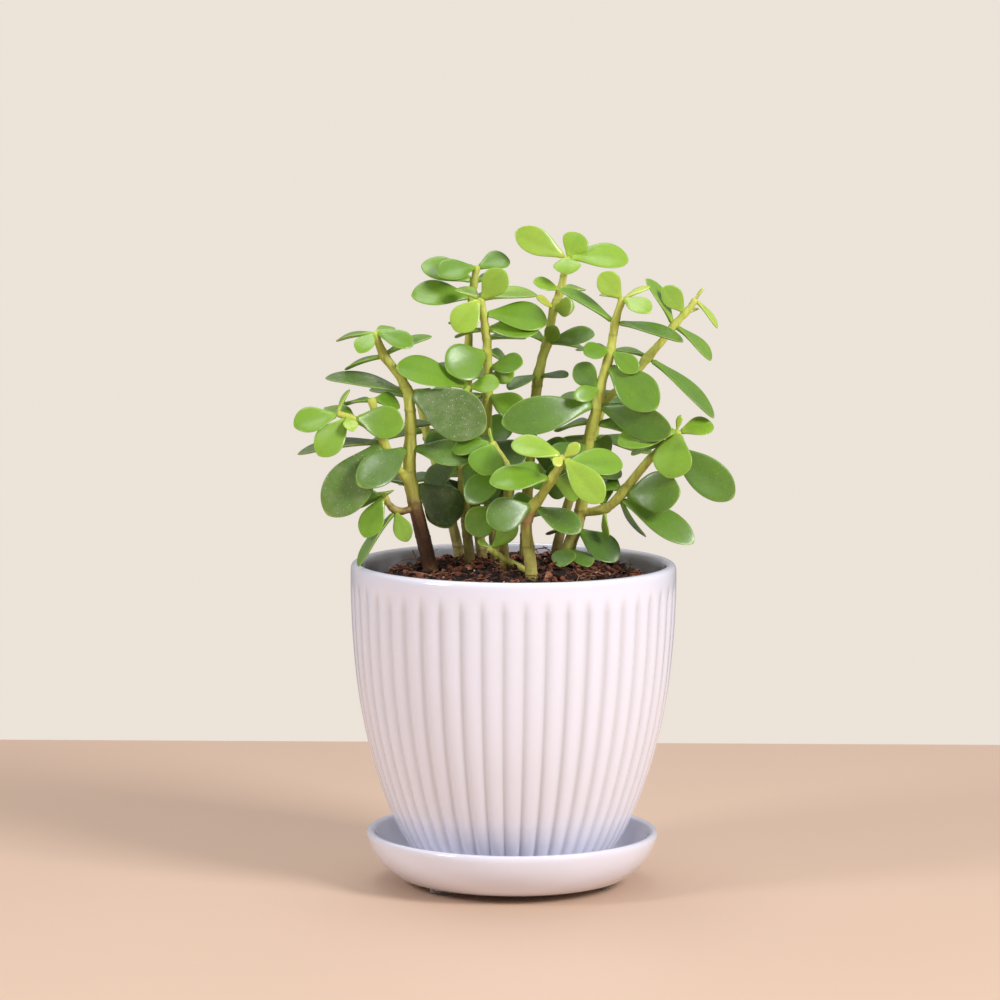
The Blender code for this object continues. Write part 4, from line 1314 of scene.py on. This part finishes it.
@dataclass
class Stems:
    """Every stem: a round, swollen and scarred skin over the construction's stem."""

    voxel: float = 0.36
    smoothing: int = 7
    swell: float = 0.32
    joint_reach: float = 2.6
    scar_gap: float = 12.0
    scar_reach: float = 0.45
    bark_fades: tuple[float, float] = (121.0, 142.0)
    foot_fades: tuple[float, float] = (104.0, 112.0)
    front_fades: tuple[float, float] = (112.0, 132.0)
    usual_fades: tuple[float, float] = (104.0, 150.0)
    blush_height: float = 127.5
    blush_reach: float = 3.0
    seed: int = 3

    def base_age(self, name: str, place: Vector) -> float:
        """How old and woody a stem is at a place, 0 to 1.

        Args:
            name: the stem's node.
            place: the place on it.

        Returns:
            The age.
        """
        height = place.z / MM
        if name == "stem_left":
            woody = 1.0 - smooth_step(*self.bark_fades, height)
            foot = 1.0 - smooth_step(*self.foot_fades, height)
            return 0.2 + 0.72 * woody - 0.4 * foot
        if name == "stem_front":
            return 0.2 + 0.25 * (1.0 - smooth_step(*self.front_fades, height))
        if name == "cutting":
            return 0.35
        return 0.16 + 0.5 * (1.0 - smooth_step(*self.usual_fades, height))

    def blush(self, name: str, place: Vector) -> float:
        """The pink flush at the front stem's joint, 0 to 1.

        Args:
            name: the stem's node.
            place: the place on it.

        Returns:
            The flush's strength.
        """
        if name != "stem_front":
            return 0.0
        return math.exp(-((place.z / MM - self.blush_height) / self.blush_reach) ** 2)

    def build_one(self, name: str, blades: list[Blade], finish: bpy.types.Material) -> bpy.types.Object:
        """Make one stem round, swell it where leaves leave it and ring it with scars.

        Args:
            name: the stem's node.
            blades: every leaf's blade.
            finish: the stem skin.

        Returns:
            The stem.
        """
        rng = random.Random(self.seed + sum(ord(letter) for letter in name))
        piece = link_mesh("jade_" + name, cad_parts[name].data.copy())
        take(piece)
        bpy.ops.object.mode_set(mode="EDIT")
        bpy.ops.mesh.select_all(action="SELECT")
        bpy.ops.mesh.remove_doubles(threshold=WELD)
        bpy.ops.object.mode_set(mode="OBJECT")
        remesh = piece.modifiers.new("skin", "REMESH")
        remesh.mode = "VOXEL"
        remesh.voxel_size = self.voxel * MM
        apply_modifier(piece, remesh)
        soften = piece.modifiers.new("soften", "SMOOTH")
        soften.factor = 0.5
        soften.iterations = self.smoothing
        apply_modifier(piece, soften)
        low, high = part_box(name)
        scars = []
        height = low.z + rng.uniform(2.0, 5.0) * MM
        while height < high.z - 4.0 * MM:
            scars.append(height)
            height += self.scar_gap * MM * rng.uniform(0.6, 1.4)
        joints = [blade.root for blade in blades]
        values: dict[str, list[float]] = {key: [] for key in ("age", "scar", "blush")}
        moves = []
        for vertex in piece.data.vertices:
            place = vertex.co
            near = min(((place - joint).length for joint in joints), default=1.0)
            joint_swell = math.exp(-(near / (self.joint_reach * MM)) ** 2)
            level = place.z + 0.5 * MM * noise.noise(place / (9.0 * MM))
            ring = max((math.exp(-((level - scar) / (self.scar_reach * MM)) ** 2) for scar in scars),
                       default=0.0)
            rough = noise.fractal(place / (2.4 * MM), 1.0, 2.0, 2)
            out = self.swell * joint_swell + 0.14 * ring + 0.1 * rough + 0.12
            moves.append(vertex.normal.copy() * out * MM)
            values["age"].append(min(1.0, max(0.0, self.base_age(name, place) - 0.12 * joint_swell)))
            values["scar"].append(ring * (1.0 - joint_swell) * 0.45)
            values["blush"].append(self.blush(name, place))
        for vertex, move in zip(piece.data.vertices, moves):
            vertex.co += move
        finish_mesh(piece.data, values)
        return dress(piece, finish, "stem", name)

    def build(self, blades: list[Blade], finish: bpy.types.Material) -> None:
        """Make every stem."""
        for name in nodes_called("stem", "cutting"):
            self.build_one(name, blades, finish)


# ---------------------------------------------------------------- the studio

@dataclass(frozen=True)
class Lamp:
    """A square soft light: where it hangs, its side in metres, its power in watts and its colour."""

    name: str
    place: tuple[float, float, float]
    size: float
    power: float
    colour: tuple[float, float, float]


@dataclass
class Studio:
    """The pale table, the soft lights and the camera."""

    lamps: tuple[Lamp, ...] = (
        Lamp("key", (0.95, -0.8, 0.85), 0.45, 17.5, (1.0, 0.99, 1.0)),
        Lamp("window", (-0.8, -0.5, 0.6), 0.25, 4.4, (0.98, 0.97, 1.0)),
        Lamp("top", (-0.1, 0.35, 1.3), 0.8, 6.0, (1.0, 0.99, 0.98)))
    lamp_target: tuple[float, float, float] = (0.0, 0.0, 0.1)
    room_strength: float = 0.55
    table: Colour = srgb(216, 187, 163)
    table_grain: Colour = srgb(200, 167, 140)
    wall: Colour = srgb(236, 227, 217)
    room: Colour = (0.62, 0.60, 0.62, 1.0)
    table_back: float = 0.28
    camera_place: tuple[float, float, float] = (-0.0047, -1.39, 0.289)
    camera_fall: float = 6.5
    camera_roll: float = 0.3
    lens: float = 149.4

    def build_table(self) -> None:
        """A wide slab whose back edge stands a little behind the pot."""
        width, depth, thick = 2.6, 1.6, 0.02
        clear_selection()
        bpy.ops.mesh.primitive_cube_add(size=1.0, location=(0, self.table_back - depth / 2, -thick / 2),
                                        scale=(width, depth, thick))
        table = name_newest("table_top")
        settle(table)
        rounding = table.modifiers.new("rounding", "BEVEL")
        rounding.width = 0.004
        rounding.segments = 3
        apply_modifier(table, rounding)
        material, wiring, shader = new_material("pale_table")
        grain = wiring.range(wiring.noise(6.0, 3.0, wiring.place((1.0, 0.25, 1.0))), 0.3, 0.7, 0.0, 0.12)
        wiring.feed_all(shader, {
            "Base Color": wiring.mix(grain, self.table, self.table_grain),
            "Roughness": 0.55})
        table.data.materials.append(material)

    def hang(self, lamp: Lamp) -> None:
        """Hang one lamp, turned to the target.

        Args:
            lamp: the lamp.
        """
        data = bpy.data.lights.new(lamp.name, "AREA")
        data.size = lamp.size
        data.energy = lamp.power
        data.color = lamp.colour
        light = bpy.data.objects.new(lamp.name, data)
        bpy.context.scene.collection.objects.link(light)
        light.location = lamp.place
        aim = Vector(self.lamp_target) - Vector(lamp.place)
        light.rotation_euler = aim.to_track_quat("-Z", "Y").to_euler()

    def build_lights(self) -> None:
        """Hang a key from the front right, a weak fill and a top light in a warm, even room."""
        for lamp in self.lamps:
            self.hang(lamp)
        world = bpy.data.worlds.new("room")
        bpy.context.scene.world = world
        world.use_nodes = True
        wiring = Wiring(world.node_tree)
        seen = wiring.add("ShaderNodeLightPath").outputs["Is Camera Ray"]
        background = world.node_tree.nodes["Background"]
        strength = wiring.math("MULTIPLY_ADD", seen, 1.0 - self.room_strength, self.room_strength)
        wiring.feed_all(background, {"Color": wiring.mix(seen, self.room, self.wall), "Strength": strength})

    def build_camera(self) -> None:
        """The camera, level with the crown and looking slightly down."""
        camera = bpy.data.objects.new("camera", bpy.data.cameras.new("camera"))
        bpy.context.scene.collection.objects.link(camera)
        camera.data.lens = self.lens
        camera.data.clip_end = 20.0
        look = Matrix.Rotation(math.radians(90.0 - self.camera_fall), 4, "X")
        roll = Matrix.Rotation(math.radians(self.camera_roll), 4, "Z")
        camera.matrix_world = Matrix.Translation(self.camera_place) @ look @ roll
        bpy.context.scene.camera = camera

    def build(self) -> None:
        """Set the table, the lights and the camera."""
        self.build_table()
        self.build_lights()
        self.build_camera()
        bpy.context.scene.view_settings.view_transform = "Standard"


# ---------------------------------------------------------------- everything together


def main() -> None:
    """Build the plant, its pot and the studio."""
    logging.basicConfig(level=logging.INFO, format="%(name)s: %(message)s")
    effects = {"mottle": make_mottle_group(), "specks": make_specks_group()}
    Studio().build()
    glaze = GlazeFinish(effects).build()
    Pot().build(glaze)
    saucer = Saucer()
    saucer.build_dish(glaze)
    saucer.build_bumpers(BumperFinish().build())
    blades = Leaves().build(LeafFinish(effects).build())
    Stems().build(blades, StemFinish(effects).build())
    soil = CoirFinish(effects).build()
    pale_tones = ((0.0, srgb(150, 146, 138)), (1.0, srgb(226, 222, 214)))
    pale = CoirFinish(effects, "pale_grain", pale_tones, 0.8).build()
    PottingMix().build(soil, pale)


if __name__ == "__main__":
    main()
